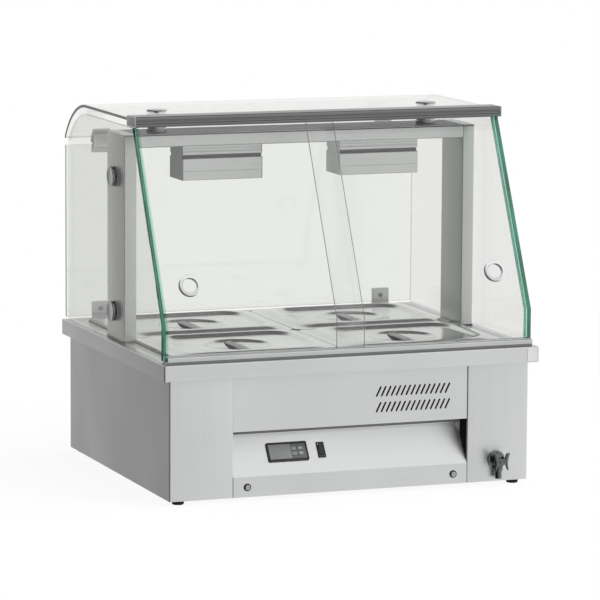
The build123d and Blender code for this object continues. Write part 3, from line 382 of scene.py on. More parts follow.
# Light grey strips that are painted shade: under the vent panel's overhang and in the groove under the rail's nose.
SOFT_SEAL = MouldedPlastic("seal_strip_light", "#7F8080", "#8B8C8C", 0.6, 0.3)
# Thin dark grey strips: a line along the beam's front top edge, painted shade lines on the track's face and painted
# shade at the bottom of the lamp grooves.
SEAL = MouldedPlastic("seal_strip_grey", "#5C5D5D", "#6A6B6B", 0.6, 0.3)
# Black strips and sheets that are painted shade: in the recesses beside the sloped panel and behind the air slots.
LINING = MouldedPlastic("recess_lining_black", "#0B0B0C", "#141415", 0.8, 0.2)
BADGE = MouldedPlastic("enamelled_plate_white", "#E6E4E2", "#EFEDEB", 0.22)
LAMP_GLASS = QuartzLamp("quartz_tube_frosted")


# ---------------------------------------------------------------- meshes


@dataclass
class Shell:
    """A closed surface in the making: vertices in millimetres, faces, and each face's finish number."""

    points: list[np.ndarray] = field(default_factory=list)
    faces: list[list[int]] = field(default_factory=list)
    slots: list[int] = field(default_factory=list)
    count: int = 0

    def grid(self, points: np.ndarray, closed: bool = False, looped: bool = False, slot: int = 0) -> np.ndarray:
        """Add a surface that is a function of two parameters.

        The face between neighbours looks towards (step along the second parameter) x (step along the first).

        Args:
            points: array of shape (n, m, 3).
            closed: join the second parameter's end to its start.
            looped: join the first parameter's end to its start.
            slot: finish number of the faces.

        Returns:
            The vertex numbers, shape (n, m).
        """
        n, m = points.shape[:2]
        index = np.arange(n * m).reshape(n, m) + self.count
        self.points.append(points.reshape(-1, 3))
        self.count += n * m
        wide = np.concatenate([index, index[:, :1]], axis=1) if closed else index
        tall = np.concatenate([wide, wide[:1]], axis=0) if looped else wide
        quads = np.stack([tall[:-1, :-1], tall[:-1, 1:], tall[1:, 1:], tall[1:, :-1]], axis=-1).reshape(-1, 4)
        self.faces.extend(quads.tolist())
        self.slots.extend([slot] * len(quads))
        return index

    def loft(self, rings: np.ndarray, slot: int = 0) -> "Shell":
        """Add rings joined in turn, with flat ends; each ring is anticlockwise seen from where the loft goes."""
        index = self.grid(rings, closed=True, slot=slot)
        self.faces.extend([index[0].tolist()[::-1], index[-1].tolist()])
        self.slots.extend([slot, slot])
        return self

    def turned(self, turn: np.ndarray, move: Sequence[float]) -> "Shell":
        """Rotate every point by a 3 x 3 matrix and then move it."""
        self.points = [p @ turn.T + np.asarray(move, float) for p in self.points]
        return self

    def moved(self, move: Sequence[float]) -> "Shell":
        """Move every point."""
        return self.turned(np.eye(3), move)

    def mirrored(self) -> "Shell":
        """Mirror in X and turn every face round, so that it still looks outwards."""
        self.points = [p * np.array([-1.0, 1.0, 1.0]) for p in self.points]
        self.faces = [f[::-1] for f in self.faces]
        return self

    def join(self, other: "Shell") -> "Shell":
        """Add another shell's faces to this one."""
        self.faces.extend([[i + self.count for i in f] for f in other.faces])
        self.slots.extend(other.slots)
        self.points.extend(other.points)
        self.count += other.count
        return self


def sized_piece(name: str, shell: Shell, finishes: Sequence[Finish], nodes: Sequence[str] = (),
                body: str = "base", bevel: float = 0.0, segments: int = 2, smooth: float = 35.0) -> bpy.types.Object:
    """Write a shell into a mesh object that rides on a body.

    Args:
        name: the piece's name.
        shell: its surface.
        finishes: its finishes, by number.
        nodes: the solids that it stands for.
        body: the body that it moves with.
        bevel: width of its rounded edges in millimetres, 0 for none.
        segments: steps of the rounding.
        smooth: largest angle in degrees that is shaded smooth.

    Returns:
        The new object.
    """
    mesh = bpy.data.meshes.new(name)
    mesh.from_pydata((np.concatenate(shell.points) * MM).tolist(), [], shell.faces)
    mesh.polygons.foreach_set("material_index", np.asarray(shell.slots, np.int32))
    work = bmesh.new()
    work.from_mesh(mesh)
    bmesh.ops.remove_doubles(work, verts=work.verts, dist=2e-6)
    work.to_mesh(mesh)
    work.free()
    mesh.shade_smooth()
    mesh.set_sharp_from_angle(angle=math.radians(smooth))
    for finish in finishes:
        mesh.materials.append(finish.material())
    piece = bpy.data.objects.new(name, mesh)
    bpy.context.scene.collection.objects.link(piece)
    if bevel > 0:
        rounded_edges(piece, "rounded_edges", bevel, segments, 30)
    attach(piece, body)
    if nodes:
        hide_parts(*nodes)
    log.info("piece %s: %d faces on %s", name, len(mesh.polygons), body)
    return piece


def rounded_edges(piece: bpy.types.Object, name: str, width: float, segments: int, angle: float) -> None:
    """Round every edge sharper than an angle in degrees, to a width in millimetres."""
    edges = piece.modifiers.new(name, "BEVEL")
    edges.width = width * MM
    edges.segments = segments
    edges.limit_method = "ANGLE"
    edges.angle_limit = math.radians(angle)


def once(node: str, first: bool) -> Sequence[str]:
    """The solids' name for the first of the pieces that stand for them together, and nothing for the others."""
    return [node] if first else ()


def rounded_ring(hx: float, hy: float, r: float, z: float, centre: Point2 = (0.0, 0.0), steps: int = 8) -> np.ndarray:
    """Rectangle of half sizes hx and hy with corners of radius r, anticlockwise seen from above.

    Each corner is a quarter circle about its own centre: centre + r (cos a, sin a), a in equal steps.
    """
    angle = (np.arange(4)[:, None] * 90 + np.linspace(0, 90, steps + 1)[None, :]) * math.pi / 180
    signs = np.array([[1, 1], [-1, 1], [-1, -1], [1, -1]], float)
    x = centre[0] + signs[:, :1] * (hx - r) + r * np.cos(angle)
    y = centre[1] + signs[:, 1:] * (hy - r) + r * np.sin(angle)
    return np.stack([x, y, np.full_like(x, z)], axis=-1).reshape(-1, 3)


def stacked(table: Sequence[Sequence[float]], centre: Point2 = (0.0, 0.0)) -> np.ndarray:
    """Rounded rings from rows of two half sizes, a corner radius and a height."""
    return np.stack([rounded_ring(*row, centre) for row in table])


def hoop(rings: np.ndarray) -> Shell:
    """Shell round a hole: rings joined in turn and the last one to the first."""
    shell = Shell()
    shell.grid(rings, closed=True, looped=True)
    return shell


def rounded_path(points: Sequence[Point2], radii: Sequence[float], steps: int = 6) -> np.ndarray:
    """Open path with its inner corners rounded.

    At a corner with turn t the arc of radius r starts r tan(t / 2) before it, and each of its points is the arc's
    centre plus r along the turned normal.

    Args:
        points: corners of the path.
        radii: one radius for each inner corner, 0 for a sharp one.
        steps: steps of each arc.

    Returns:
        Array of shape (n, 2).
    """
    p = [np.array(q, float) for q in points]
    out = [p[0]]
    for a, b, c, r in zip(p, p[1:], p[2:], radii):
        u, v = (b - a) / np.linalg.norm(b - a), (c - b) / np.linalg.norm(c - b)
        turn = math.atan2(u[0] * v[1] - u[1] * v[0], float(u @ v))
        if r <= 0 or abs(turn) < 1e-6:
            out.append(b)
            continue
        normal = np.array([-u[1], u[0]]) * math.copysign(1, turn)
        centre = b - u * r * math.tan(abs(turn) / 2) + normal * r
        spoke = -normal * r
        for t in turn * np.arange(steps + 1) / steps:
            out.append(centre + np.array([spoke[0] * math.cos(t) - spoke[1] * math.sin(t),
                                          spoke[0] * math.sin(t) + spoke[1] * math.cos(t)]))
    out.append(p[-1])
    return np.array(out)


def offset_line(path: np.ndarray, t: float) -> np.ndarray:
    """Move an open path t to its left, each point along the mean normal divided by the cosine of half the turn."""
    step = np.diff(path, axis=0)
    step = step / np.linalg.norm(step, axis=1, keepdims=True)
    normal = np.stack([-step[:, 1], step[:, 0]], axis=1)
    before = np.concatenate([normal[:1], normal])
    after = np.concatenate([normal, normal[-1:]])
    mean = before + after
    mean = mean / np.linalg.norm(mean, axis=1, keepdims=True)
    return path + mean * (t / np.sum(mean * after, axis=1, keepdims=True))


def at_x(line: np.ndarray, x: float) -> np.ndarray:
    """Points of a (y, z) line at one x."""
    return np.column_stack([np.full(len(line), x), line])


def along_x(outline: np.ndarray, x0: float, x1: float) -> np.ndarray:
    """Rings of a closed (y, z) outline, anticlockwise seen from +X, at x0 and x1."""
    return np.stack([at_x(outline, x0), at_x(outline, x1)])


def along_z(outline: np.ndarray, z0: float, z1: float) -> np.ndarray:
    """Rings of a closed (x, y) outline, anticlockwise seen from above, at z0 and z1."""
    return np.stack([np.column_stack([outline, np.full(len(outline), z)]) for z in (z0, z1)])


def flat_ring(half: Point2, r: float, middle: Point2) -> np.ndarray:
    """Rounded rectangle as a closed plane outline about its middle."""
    return rounded_ring(*half, r, 0.0)[:, :2] + np.array(middle)


def strip_x(half: Point2, r: float, middle: Point2, x0: float, x1: float) -> Shell:
    """Rounded strip along X, from its half sizes, corner radius and middle in Y and Z."""
    return Shell().loft(along_x(flat_ring(half, r, middle), x0, x1))


def anticlockwise(outline: np.ndarray) -> np.ndarray:
    """Turn a closed outline round if its signed area is negative."""
    x, y = outline[:, 0], outline[:, 1]
    return outline if np.sum(x * np.roll(y, -1) - np.roll(x, -1) * y) > 0 else outline[::-1]


def lathe(profile: Sequence[Point2], steps: int = 32, looped: bool = False) -> Shell:
    """Turn a profile of (radius, height) about Z: (r cos a, r sin a, h), lowest inner point first, outwards, up."""
    angle = np.linspace(0, 2 * math.pi, steps, endpoint=False)
    p = np.array(profile, float)
    x, y = p[:, :1] * np.cos(angle), p[:, :1] * np.sin(angle)
    shell = Shell()
    shell.grid(np.stack([x, y, np.repeat(p[:, 1:], steps, axis=1)], axis=-1), closed=True, looped=looped)
    return shell


def facing(axis: Sequence[float]) -> np.ndarray:
    """Rotation whose third column is the given axis and whose second is as near to upright as it can be."""
    w = np.array(axis, float) / np.linalg.norm(axis)
    hint = np.array([0.0, 1.0, 0.0]) if abs(w[2]) > 0.99 else np.array([0.0, 0.0, 1.0])
    u = np.cross(hint, w)
    u = u / np.linalg.norm(u)
    return np.column_stack([u, np.cross(w, u), w])


def turned_piece(name: str, profile: Sequence[Point2], axis: Point3, spot: Point3, finish: Finish,
                 nodes: Sequence[str] = (), steps: int = 32, looped: bool = False) -> bpy.types.Object:
    """Write a turned fitting that stands at a spot with its axis along a direction.

    Args:
        name: the piece's name.
        profile: its (radius, height) points.
        axis: the direction that its heights run in.
        spot: where its height is nought.
        finish: its finish.
        nodes: the solids that it stands for.
        steps: sides of its circles.
        looped: join the profile's end to its start, for a ring.

    Returns:
        The new object.
    """
    return sized_piece(name, lathe(profile, steps, looped).turned(facing(axis), spot), [finish], nodes)


# ---------------------------------------------------------------- cabinet


@dataclass
class Cabinet:
    """Worktop, folded panels, feet, screws and the plain plate."""

    half: float = 350.0
    front: float = -288.0
    back: float = 302.0
    foot: float = 8.0
    top: float = 258.0
    sheet: float = 1.5
    lip: float = 29.0
    lip_x: float = 365.0
    lip_y: Point2 = (-303.5, 309.0)
    well_y: float = 2.75
    open_x: float = 317.0
    open_y: float = 257.0
    pilaster: float = 121.0
    panel_x: float = 228.5
    kick: float = 45.0
    slope_top: float = 114.0
    slope_back: float = 48.0
    soffit: float = 128.0
    slots_end: float = 39.2
    baffle_behind: float = 1.9
    baffle_z: Point2 = (143.0, 203.0)
    baffle_span: Point2 = (-145.0, 9.0)
    feet_x: float = 328.0
    feet_y: Point2 = (-270.0, 284.0)
    screw: Point2 = (201.5, 26.0)
    plate_x: float = 350.5

    def worktop(self) -> None:
        """Rings of rounded rectangles: up the lip, round the fold, over the top, down the well's edge and back."""
        top, t, r, base = self.top, self.sheet, 2.4, self.top - self.lip
        hx, hy = self.lip_x, (self.lip_y[1] - self.lip_y[0]) / 2
        table = [(hx, hy, 2.6, base), (hx, hy, 2.6, top - r)]
        for a in np.radians(np.arange(18, 91, 18)):
            inset = r - r * math.cos(a)
            table.append((hx - inset, hy - inset, max(2.6 - inset, 0.4), top - r + r * math.sin(a)))
        table += [(self.open_x + 1.2, self.open_y + 1.2, 14.0, top), (self.open_x, self.open_y, 13.0, top - 0.6),
                  (self.open_x, self.open_y, 13.0, top - t), (hx - t - r, hy - t - r, 0.6, top - t),
                  (hx - t, hy - t, 1.1, top - t - r), (hx - t, hy - t, 1.1, base)]
        shell = hoop(stacked(table, (0.0, self.well_y)))
        sized_piece("worktop_pressed", shell, [SHEET_X], ["worktop"])

    def side_panel(self, side: Side) -> None:
        """Sheet bent in plan: side, rounded corner, pilaster and its return, carried upwards."""
        x_in, step = self.half - self.pilaster, self.soffit + self.sheet
        shell = Shell()
        for reach, z0, z1 in ((56.0, self.foot, step), (22.0, step, self.top - self.sheet)):
            corners = [(self.half, self.back - self.sheet), (self.half, self.front), (x_in, self.front),
                       (x_in, self.front + reach)]
            line = rounded_path(corners, (2.2, 1.6))
            shell.loft(along_z(anticlockwise(np.concatenate([line, offset_line(line, -self.sheet)[::-1]])), z0, z1))
        if side is Side.LEFT:
            shell.mirrored()
        name = f"{side.word}_side_panel"
        sized_piece(f"{name}_folded", shell, [SHEET_Z], [name])
        # Black strip on the inside of the pilaster's return: painted shade in the recess beside the sloped panel.
        cover = Shell().loft(along_z(flat_ring((0.15, 16.0), 0.1, (0.0, 0.0)), self.foot + 2.0, self.soffit - 0.3))
        cover.moved((side.value * (x_in - 0.2), self.front + 20.0, 0.0))
        sized_piece(f"{side.word}_recess_lining", cover, [LINING])

    def control_panel(self) -> None:
        """Sheet bent along X: kick strip, sloped face and upright top, with small bending radii."""
        y = self.front + self.slope_back
        corners = [(self.front, self.foot), (self.front, self.kick), (y, self.slope_top), (y, self.soffit - 0.5)]
        line = rounded_path(corners, (2.0, 2.0))
        outline = anticlockwise(np.concatenate([line, offset_line(line, -self.sheet)[::-1]]))
        shell = Shell().loft(along_x(outline, -self.panel_x, self.panel_x))
        sized_piece("control_panel_folded", shell, [SHEET_X], ["control_panel"])
        # Grey strip on the upright top under the vent panel's overhang: painted shade of the overhang.
        seal = strip_x((0.4, 6.2), 0.2, (y - 0.4, self.slope_top + 7.0), -self.panel_x, self.panel_x)
        sized_piece("panel_joint_seal", seal, [SOFT_SEAL])

    def vent_baffle(self) -> None:
        """Black sheet close behind both rows of air slots: painted shade that makes the slots dark."""
        low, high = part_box("vent_panel")
        last, behind = high[0] / MM - self.slots_end, low[1] / MM + self.baffle_behind
        z0, z1 = self.baffle_z
        x0, x1 = (last + reach for reach in self.baffle_span)
        shell = strip_x((0.3, (z1 - z0) / 2), 0.2, (behind, (z0 + z1) / 2), x0, x1)
        sized_piece("vent_baffle", shell, [LINING]).visible_glossy = False

    def feet(self) -> None:
        """Turned rubber feet with a bevelled tread and a hollow for their screw."""
        profile = [(0, 1.2), (3.5, 1.2), (3.5, 0), (9.6, 0), (10.6, 0.8), (11, 2.0), (11, 7.2), (10.4, 8), (0, 8)]
        for side in Side:
            for row, y in zip(Row, self.feet_y):
                nodes = once("feet", side is Side.LEFT and row is Row.FRONT)
                spot = (side.value * self.feet_x, y, 0.0)
                turned_piece(f"foot_{row.word}_{side.word}", profile, UP, spot, RUBBER, nodes)

    def panel_screws(self) -> None:
        """Domed heads with a round socket, each on a dark washer."""
        washer = [(2.4, 0), (6.7, 0), (7, 0.3), (7, 0.9), (6.7, 1.2), (2.4, 1.2)]
        head = [(0, 1.2), (5, 1.2), (5, 1.8), (4.6, 2.6), (3.6, 3.1), (2.2, 3.3), (2.0, 1.9), (0, 1.9)]
        for side in Side:
            spot = (side.value * self.screw[0], self.front, self.screw[1])
            nodes = once("panel_screws", side is Side.LEFT)
            turned_piece(f"{side.word}_kick_screw", head, FORWARDS, spot, FITTING, nodes)
            turned_piece(f"{side.word}_kick_washer", washer, FORWARDS, spot, RUBBER, looped=True)

    def plain_plate(self) -> None:
        """Small blank plate with rounded corners and a thin raised border."""
        table = [(9.5, 12, 2.0, 0), (9.5, 12, 2.0, 0.6), (9.1, 11.6, 1.7, 0.8), (8.4, 10.9, 1.2, 0.8),
                 (8.1, 10.6, 1.0, 0.55)]
        shell = Shell().loft(stacked(table))
        shell.turned(facing(FORWARDS), (self.plate_x, self.lip_y[0], self.top - self.lip / 2))
        sized_piece("lip_plate_plain", shell, [BADGE], ["blank_badge"])

    def build(self) -> None:
        """Make every piece of the cabinet."""
        self.worktop()
        for side in Side:
            self.side_panel(side)
        self.control_panel()
        self.feet()
        self.panel_screws()
        self.plain_plate()
        self.vent_baffle()


@dataclass
class SlopeFrame:
    """The sloped panel's own frame: across, up the slope and out of it."""

    origin: Point3 = (0.0, -288.0, 45.0)
    rise: float = 69.0
    depth: float = 48.0

    def place(self, shell: Shell, across: float, up: float) -> Shell:
        """Move a shell drawn about its own origin to a place on the slope."""
        length = math.hypot(self.rise, self.depth)
        s, c = self.rise / length, self.depth / length
        turn = np.array([[1.0, 0.0, 0.0], [0.0, c, -s], [0.0, s, c]])
        return shell.turned(turn, np.array(self.origin) + turn @ np.array([across, up, 0.0]))


def soft_block(hx: float, hy: float, z0: float, z1: float, r: float = 1.0, edge: float = 0.5) -> Shell:
    """Rounded slab whose upper edge is turned in: rings at z0, z1 less the edge, and z1 inset by the edge."""
    table = [(hx, hy, r, z0)]
    for a in np.radians([0, 30, 60, 90]):
        inset = edge - edge * math.cos(a)
        table.append((hx - inset, hy - inset, max(r - inset, 0.1), z1 - edge + edge * math.sin(a)))
    return Shell().loft(stacked(table))


@dataclass
class Controls:
    """Panel controller and rocker switch on the slope."""

    frame: SlopeFrame = field(default_factory=SlopeFrame)
    up: float = 44.7
    control_x: float = -115.5
    switch_x: float = -50.0
    tilt: float = 9.0
    buttons: tuple[tuple[str, float, float], ...] = (
        ("set", -6.25, 5.0), ("up", 6.25, 5.0), ("standby", -6.25, -5.0), ("down", 6.25, -5.0))

    def housing(self) -> None:
        """Bezel with a rounded rim round a sunk face, the body behind it, the window and the key plate."""
        rim = [(39.5, 19, 3, 0), (39.5, 19, 3, 2.2), (38.9, 18.4, 2.6, 2.8), (38.2, 17.7, 2.2, 3.0),
               (36.4, 15.9, 1.4, 3.0), (35.9, 15.4, 1.0, 2.2)]
        case = Shell().loft(stacked(rim)).loft(stacked([(35.5, 14.5, 1.5, -58), (35.5, 14.5, 1.5, 0)]))
        window = soft_block(21.5, 14.6, 1.8, 3.0, 1.2, 0.4)
        plate = soft_block(14.2, 14.6, 1.8, 2.5, 1.2, 0.3)
        for shell, dx in ((case, 0.0), (window, -14.3), (plate, 21.6)):
            self.frame.place(shell, self.control_x + dx, self.up)
        sized_piece("controller_case", case, [BLACK_PLASTIC], ["controller_housing"])
        sized_piece("controller_display", window, [WINDOW], ["controller_window"])
        sized_piece("controller_key_plate", plate, [GREY_PLASTIC])

    def keys(self) -> None:
        """Four soft keys, two with a raised arrow."""
        for name, dx, dy in self.buttons:
            key = soft_block(5.0, 3.5, 3.34, 4.0, 1.2, 0.5)
            if name in ("up", "down"):
                s = 1.0 if name == "up" else -1.0
                arrow = anticlockwise(np.array([(-2.0, -1.2 * s), (2.0, -1.2 * s), (0.0, 1.6 * s)]))
                key.loft(along_z(arrow, 3.9, 4.18), slot=1)
            self.frame.place(key, self.control_x + 18.5 + dx, self.up + dy)
            node = "controller_button_" + name
            sized_piece(node + "_key", key, [KEY_PLASTIC, BADGE], [node], "button_" + name)

    def switch(self) -> None:
        """Frame of the rocker switch with a bevelled rim, and its rocker with two dished faces."""
        rim = [(7.5, 15.5, 1.2, 0), (7.5, 15.5, 1.2, 1.4), (6.9, 14.9, 1, 2.0), (5.5, 12.9, 0.6, 2.0),
               (5.5, 12.9, 0.6, -8.0), (6.2, 13.7, 0.6, -8.0), (6.2, 13.7, 0.6, 0)]
        frame = self.frame.place(hoop(stacked(rim)), self.switch_x, self.up)
        sized_piece("switch_bezel", frame, [BLACK_PLASTIC], ["switch_frame"])
        a = math.radians(self.tilt)
        u = np.linspace(-11, 11, 25)
        top = 3.0 + np.abs(u) * math.tan(a) - 0.5 * np.sin(np.abs(u) / 11 * math.pi)
        low = -6.0 + 3.0 * np.abs(u) / 11
        outline = np.concatenate([np.column_stack([u, top])[::-1], np.column_stack([u * 0.8, low])])
        rocker = Shell().loft(along_x(anticlockwise(outline), -5.0, 5.0))
        turn = np.array([[1, 0, 0], [0, math.cos(a), -math.sin(a)], [0, math.sin(a), math.cos(a)]])
        self.frame.place(rocker.turned(turn, (0, 0, 0)), self.switch_x, self.up)
        sized_piece("switch_key", rocker, [BLACK_PLASTIC], ["switch_rocker"], "power_rocker", 0.4)

    def build(self) -> None:
        """Make the controls."""
        self.housing()
        self.keys()
        self.switch()


@dataclass
class DrainValve:
    """Nickel-plated plug valve with a butterfly handle."""

    x: float = 287.0
    y: float = -288.0
    z: float = 48.0

    def body(self) -> None:
        """Turned body with a flange and beads, and the downward spout with its hose tail."""
        shell = lathe([(4.5, -12), (9, -12), (9, 0), (16.2, 0), (17, 0.6), (17, 2.4), (16.2, 3), (11.6, 3.4),
                       (10.4, 4.6), (10.4, 16.2), (11, 17), (11, 19.2), (10.2, 20), (6.6, 20), (6.6, 4.0), (4.5, 4.0)],
                      48, looped=True)
        shell.turned(facing(FORWARDS), (self.x, self.y, self.z))
        spout = lathe([(4.5, -33), (6.2, -33), (6.5, -32.6), (5.8, -29), (6.5, -28.6), (5.8, -25), (6.5, -24.6),
                       (5.8, -21), (6.5, -20.4), (6.5, -19), (7.6, -19), (8, -18.5), (8, -7), (7.5, -5.5), (4.5, -5.5)],
                      40, looped=True)
        shell.join(spout.moved((self.x, self.y - 12.5, self.z)))
        sized_piece("drain_valve_turned", shell, [NICKEL], ["drain_valve_body"])

    def handle(self) -> None:
        """Plug cap, stem and two wings on a web.

        Each wing is lofted along its length: its section is an ellipse that grows towards one end, and its middle line
        bows outwards with the square of the distance.
        """
        shell = lathe([(0, 4.4), (6.4, 4.4), (6.4, 19.8), (5.9, 20.4), (3.4, 20.8), (3.2, 24.6), (4.6, 25.2),
                       (5.2, 26.4), (5.0, 28.6), (3.8, 29.8), (0, 30)], 40)
        t = np.linspace(-1, 1, 33)[:, None]
        angle = np.linspace(0, 2 * math.pi, 24, endpoint=False)[None, :]
        ends = np.sqrt(np.clip(1 - np.abs(t) ** 8, 0.0004, 1))
        for lean in (-1.0, 1.0):
            xs = lean * (9.5 + 4.0 * t**2) + (3.2 + 1.6 * t) * ends * np.cos(angle)
            zs = 27.4 + 2.4 * ends * np.sin(angle)
            shell.loft(np.stack([xs, np.broadcast_to(t * 17.0, xs.shape), zs], axis=-1)[::-1])
        shell.join(soft_block(10.0, 5.5, 25.6, 29.0, 2.0, 0.8))
        shell.turned(facing(FORWARDS), (self.x, self.y, self.z))
        sized_piece("drain_valve_wings", shell, [NICKEL], ["drain_valve_plug"], "drain_handle")

    def build(self) -> None:
        """Make the valve."""
        self.body()
        self.handle()


# ---------------------------------------------------------------- pans


@dataclass
class PanWell:
    """Pressed pans and lids of half gastronorm size in two rows of two."""

    pitch_x: float = 325.0
    pitch_y: float = 265.0
    well_y: float = 2.75
    rim_z: float = 258.3
    rim_top: float = 261.3
    lid_z: float = 261.6
    depth: float = 100.0
    lid_sheet: float = 1.2
    strap_half: Point2 = (10.0, 57.0)
    strap_z: float = 262.2
    strap_sheet: float = 1.4
    strap_arch: float = 2.4
    strap_bow: float = 1.6

    def middle(self, side: Side, row: Row) -> Point2:
        """Middle of one place of the well."""
        return (side.value * self.pitch_x / 2, self.well_y + row.value * self.pitch_y / 2)

    def pan(self, side: Side, row: Row) -> None:
        """Drawn pan: rounded-rectangle rings up the tapering wall, round the rim, and back down inside."""
        hx, hy = self.pitch_x / 2 - 0.5, self.pitch_y / 2 - 0.5
        ix, iy, top, low = hx - 13.0, hy - 13.0, self.rim_top, self.rim_top - self.depth
        wall = [(-14.0, 0.0), (-10.0, 0.4), (-4.0, 3.0), (-1.2, 7.0), (0.0, 12.0)]
        table = [(ix - 4 + d * 0.9, iy - 4 + d * 0.9, 30, low + h) for d, h in wall]
        table += [(ix + d, iy + d, 24, top - h) for d, h in ((0, 8), (0.4, 3.4), (2.4, 1.6))]
        table += [(hx - 1.6, hy - 1.6, 17, top - 1.6), (hx - 0.9, hy - 0.9, 17.6, self.rim_z),
                  (hx, hy, 18, self.rim_z + 0.2), (hx, hy, 18, top - 0.8), (hx - 0.8, hy - 0.8, 17.4, top)]
        table += [(ix + d, iy + d, 24, top - h) for d, h in ((2.2, 0), (-0.3, 1.4), (-1.0, 8))]
        table += [(ix - 5 + d * 0.9, iy - 5 + d * 0.9, 29, low + 1.0 + h) for d, h in wall[::-1]]
        shell = Shell().loft(stacked(table, self.middle(side, row)))
        node = f"{row.word}_{side.word}_pan"
        sized_piece(node + "_drawn", shell, [PRESSED], [node], node)

    def lid(self, side: Side, row: Row) -> None:
        """Pressed lid from one profile.

        Rings run from the middle of the underside outwards, round the edge and back over the top: a flat flange, a
        raised frame that slopes up and drops to the sunk panel, and a round dish whose ring changes from a circle.
        """
        c, z, t = self.middle(side, row), self.lid_z, self.lid_sheet
        hx, hy = self.pitch_x / 2 - 1.0, self.pitch_y / 2 - 1.0
        frame = [(0.0, 0.0, 18.0), (6.0, 0.1, 20.0), (10.0, 0.9, 24.0), (16.0, 3.4, 28.0), (21.0, 5.6, 32.0),
                 (26.0, 6.4, 36.0), (30.0, 6.5, 38.0), (32.0, 6.1, 39.0), (34.5, 4.9, 40.0), (39.5, 2.0, 40.0),
                 (42.4, 0.5, 40.0), (45.0, 0.0, 40.0)]
        dish = [(66.0, 0.0), (63.5, -0.2), (61.8, -1.0), (59.8, -2.2), (57.8, -3.3), (55.8, -4.1), (53.0, -4.8),
                (46.0, -5.8), (38.0, -6.6), (28.0, -7.2), (14.0, -7.6), (0.5, -7.7)]
        top = [(hx - inset, hy - inset, r, z + t + rise) for inset, rise, r in frame]
        top += [(r, r, r, z + t + drop) for r, drop in dish]
        under = [(a, b, r, h - t) for a, b, r, h in top]
        shell = Shell().loft(stacked(under[:0:-1] + [(hx, hy, 18.0, z)] + top, c))
        node = f"{row.word}_{side.word}_lid"
        sized_piece(node + "_pressed", shell, [PRESSED], [node], node, smooth=50)
        sized_piece(node + "_strap", self.strap(c), [STRAP], body=node, bevel=0.4)

    def strap(self, c: Point2) -> Shell:
        """Strap with an arched section, carried along Y and bowed down towards its ends with the distance squared."""
        u, (wide, long) = np.linspace(-1, 1, 17), self.strap_half
        arch = self.strap_z - self.strap_arch * u**2
        under = np.column_stack([wide * u, arch - self.strap_sheet])
        section = np.concatenate([under, np.column_stack([wide * u, arch])[::-1]])
        rings = [np.column_stack([section[:, 0] + c[0], np.full(len(section), c[1] + v),
                                  section[:, 1] - self.strap_bow * (v / long) ** 2])
                 for v in np.linspace(-long, long, 17)]
        return Shell().loft(np.stack(rings)[:, ::-1])

    def gasket(self) -> None:
        """Flat dark gasket round the four pan rims, whose dark also stands in for the shadow gap at the rims: painted
        shade. An outer and an inner rounded rectangle joined over the top.
        """
        hx, hy, z = self.pitch_x, self.pitch_y, self.rim_z - 0.3
        table = [(hx + 3.2, hy + 3.2, 20.0, z), (hx + 3.2, hy + 3.2, 20.0, z + 1.8),
                 (hx + 2.4, hy + 2.4, 19.4, z + 2.6), (hx, hy, 18.5, z + 2.6), (hx, hy, 18.5, z)]
        sized_piece("well_gasket", hoop(stacked(table, (0.0, self.well_y))), [GASKET])

    def build(self) -> None:
        """Make pans, lids and gasket."""
        for side in Side:
            for row in Row:
                self.pan(side, row)
                self.lid(side, row)
        self.gasket()


# ---------------------------------------------------------------- portal and lamps


@dataclass
class Portal:
    """Two posts and a beam of box tube, with a bead of black sealant round each post's foot."""

    out_x: float = 349.0
    width: float = 24.0
    y: Point2 = (-26.0, 76.0)
    z: Point2 = (258.0, 644.0)
    beam: float = 25.0
    radius: float = 2.2

    def post(self, side: Side) -> None:
        """Rounded-rectangle tube carried up, closed by a dressed end."""
        c = (side.value * (self.out_x - self.width / 2), sum(self.y) / 2)
        hx, hy, r, z0, z1 = self.width / 2, (self.y[1] - self.y[0]) / 2, self.radius, *self.z
        table = [(hx, hy, r, z0), (hx, hy, r, z1 - 1.2), (hx - 0.4, hy - 0.4, r, z1 - 0.3), (hx - 1.2, hy - 1.2, r, z1)]
        name = f"{side.word}_post"
        sized_piece(name + "_tube", Shell().loft(stacked(table, c)), [TUBE_Z], [name])
        seal = [(hx + d, hy + d, r + d, z0 + h) for d, h in ((0, 0), (1.6, 0), (1.3, 1.6), (0.5, 3.0), (0, 3.6))]
        sized_piece(name + "_sealant", hoop(stacked(seal, c)), [RUBBER])

    def cross_beam(self) -> None:
        """Rounded-rectangle tube carried along X between the posts, with a dark line along its front top edge."""
        (y0, y1), z1, x = self.y, self.z[1], self.out_x - self.width
        shell = strip_x(((y1 - y0) / 2, self.beam / 2), 3.4, ((y0 + y1) / 2, z1 - self.beam / 2), -x, x)
        beam = sized_piece("top_beam_tube", shell, [TUBE_X, TUBE_TOP], ["top_beam"])
        # Faces that look upwards take the second finish: painted shade, a much darker grey on the beam's top face.
        normals = np.empty(3 * len(beam.data.polygons), np.float32)
        beam.data.polygons.foreach_get("normal", normals)
        beam.data.polygons.foreach_set("material_index", (normals[2::3] > 0.9).astype(np.int32))
        seam = strip_x((0.3, 1.3), 0.2, (y0 - 0.1, z1 - 2.4), -self.out_x + 1.0, self.out_x - 1.0)
        sized_piece("top_beam_seam", seam, [SEAL])

    def build(self) -> None:
        """Make the portal."""
        for side in Side:
            self.post(side)
        self.cross_beam()


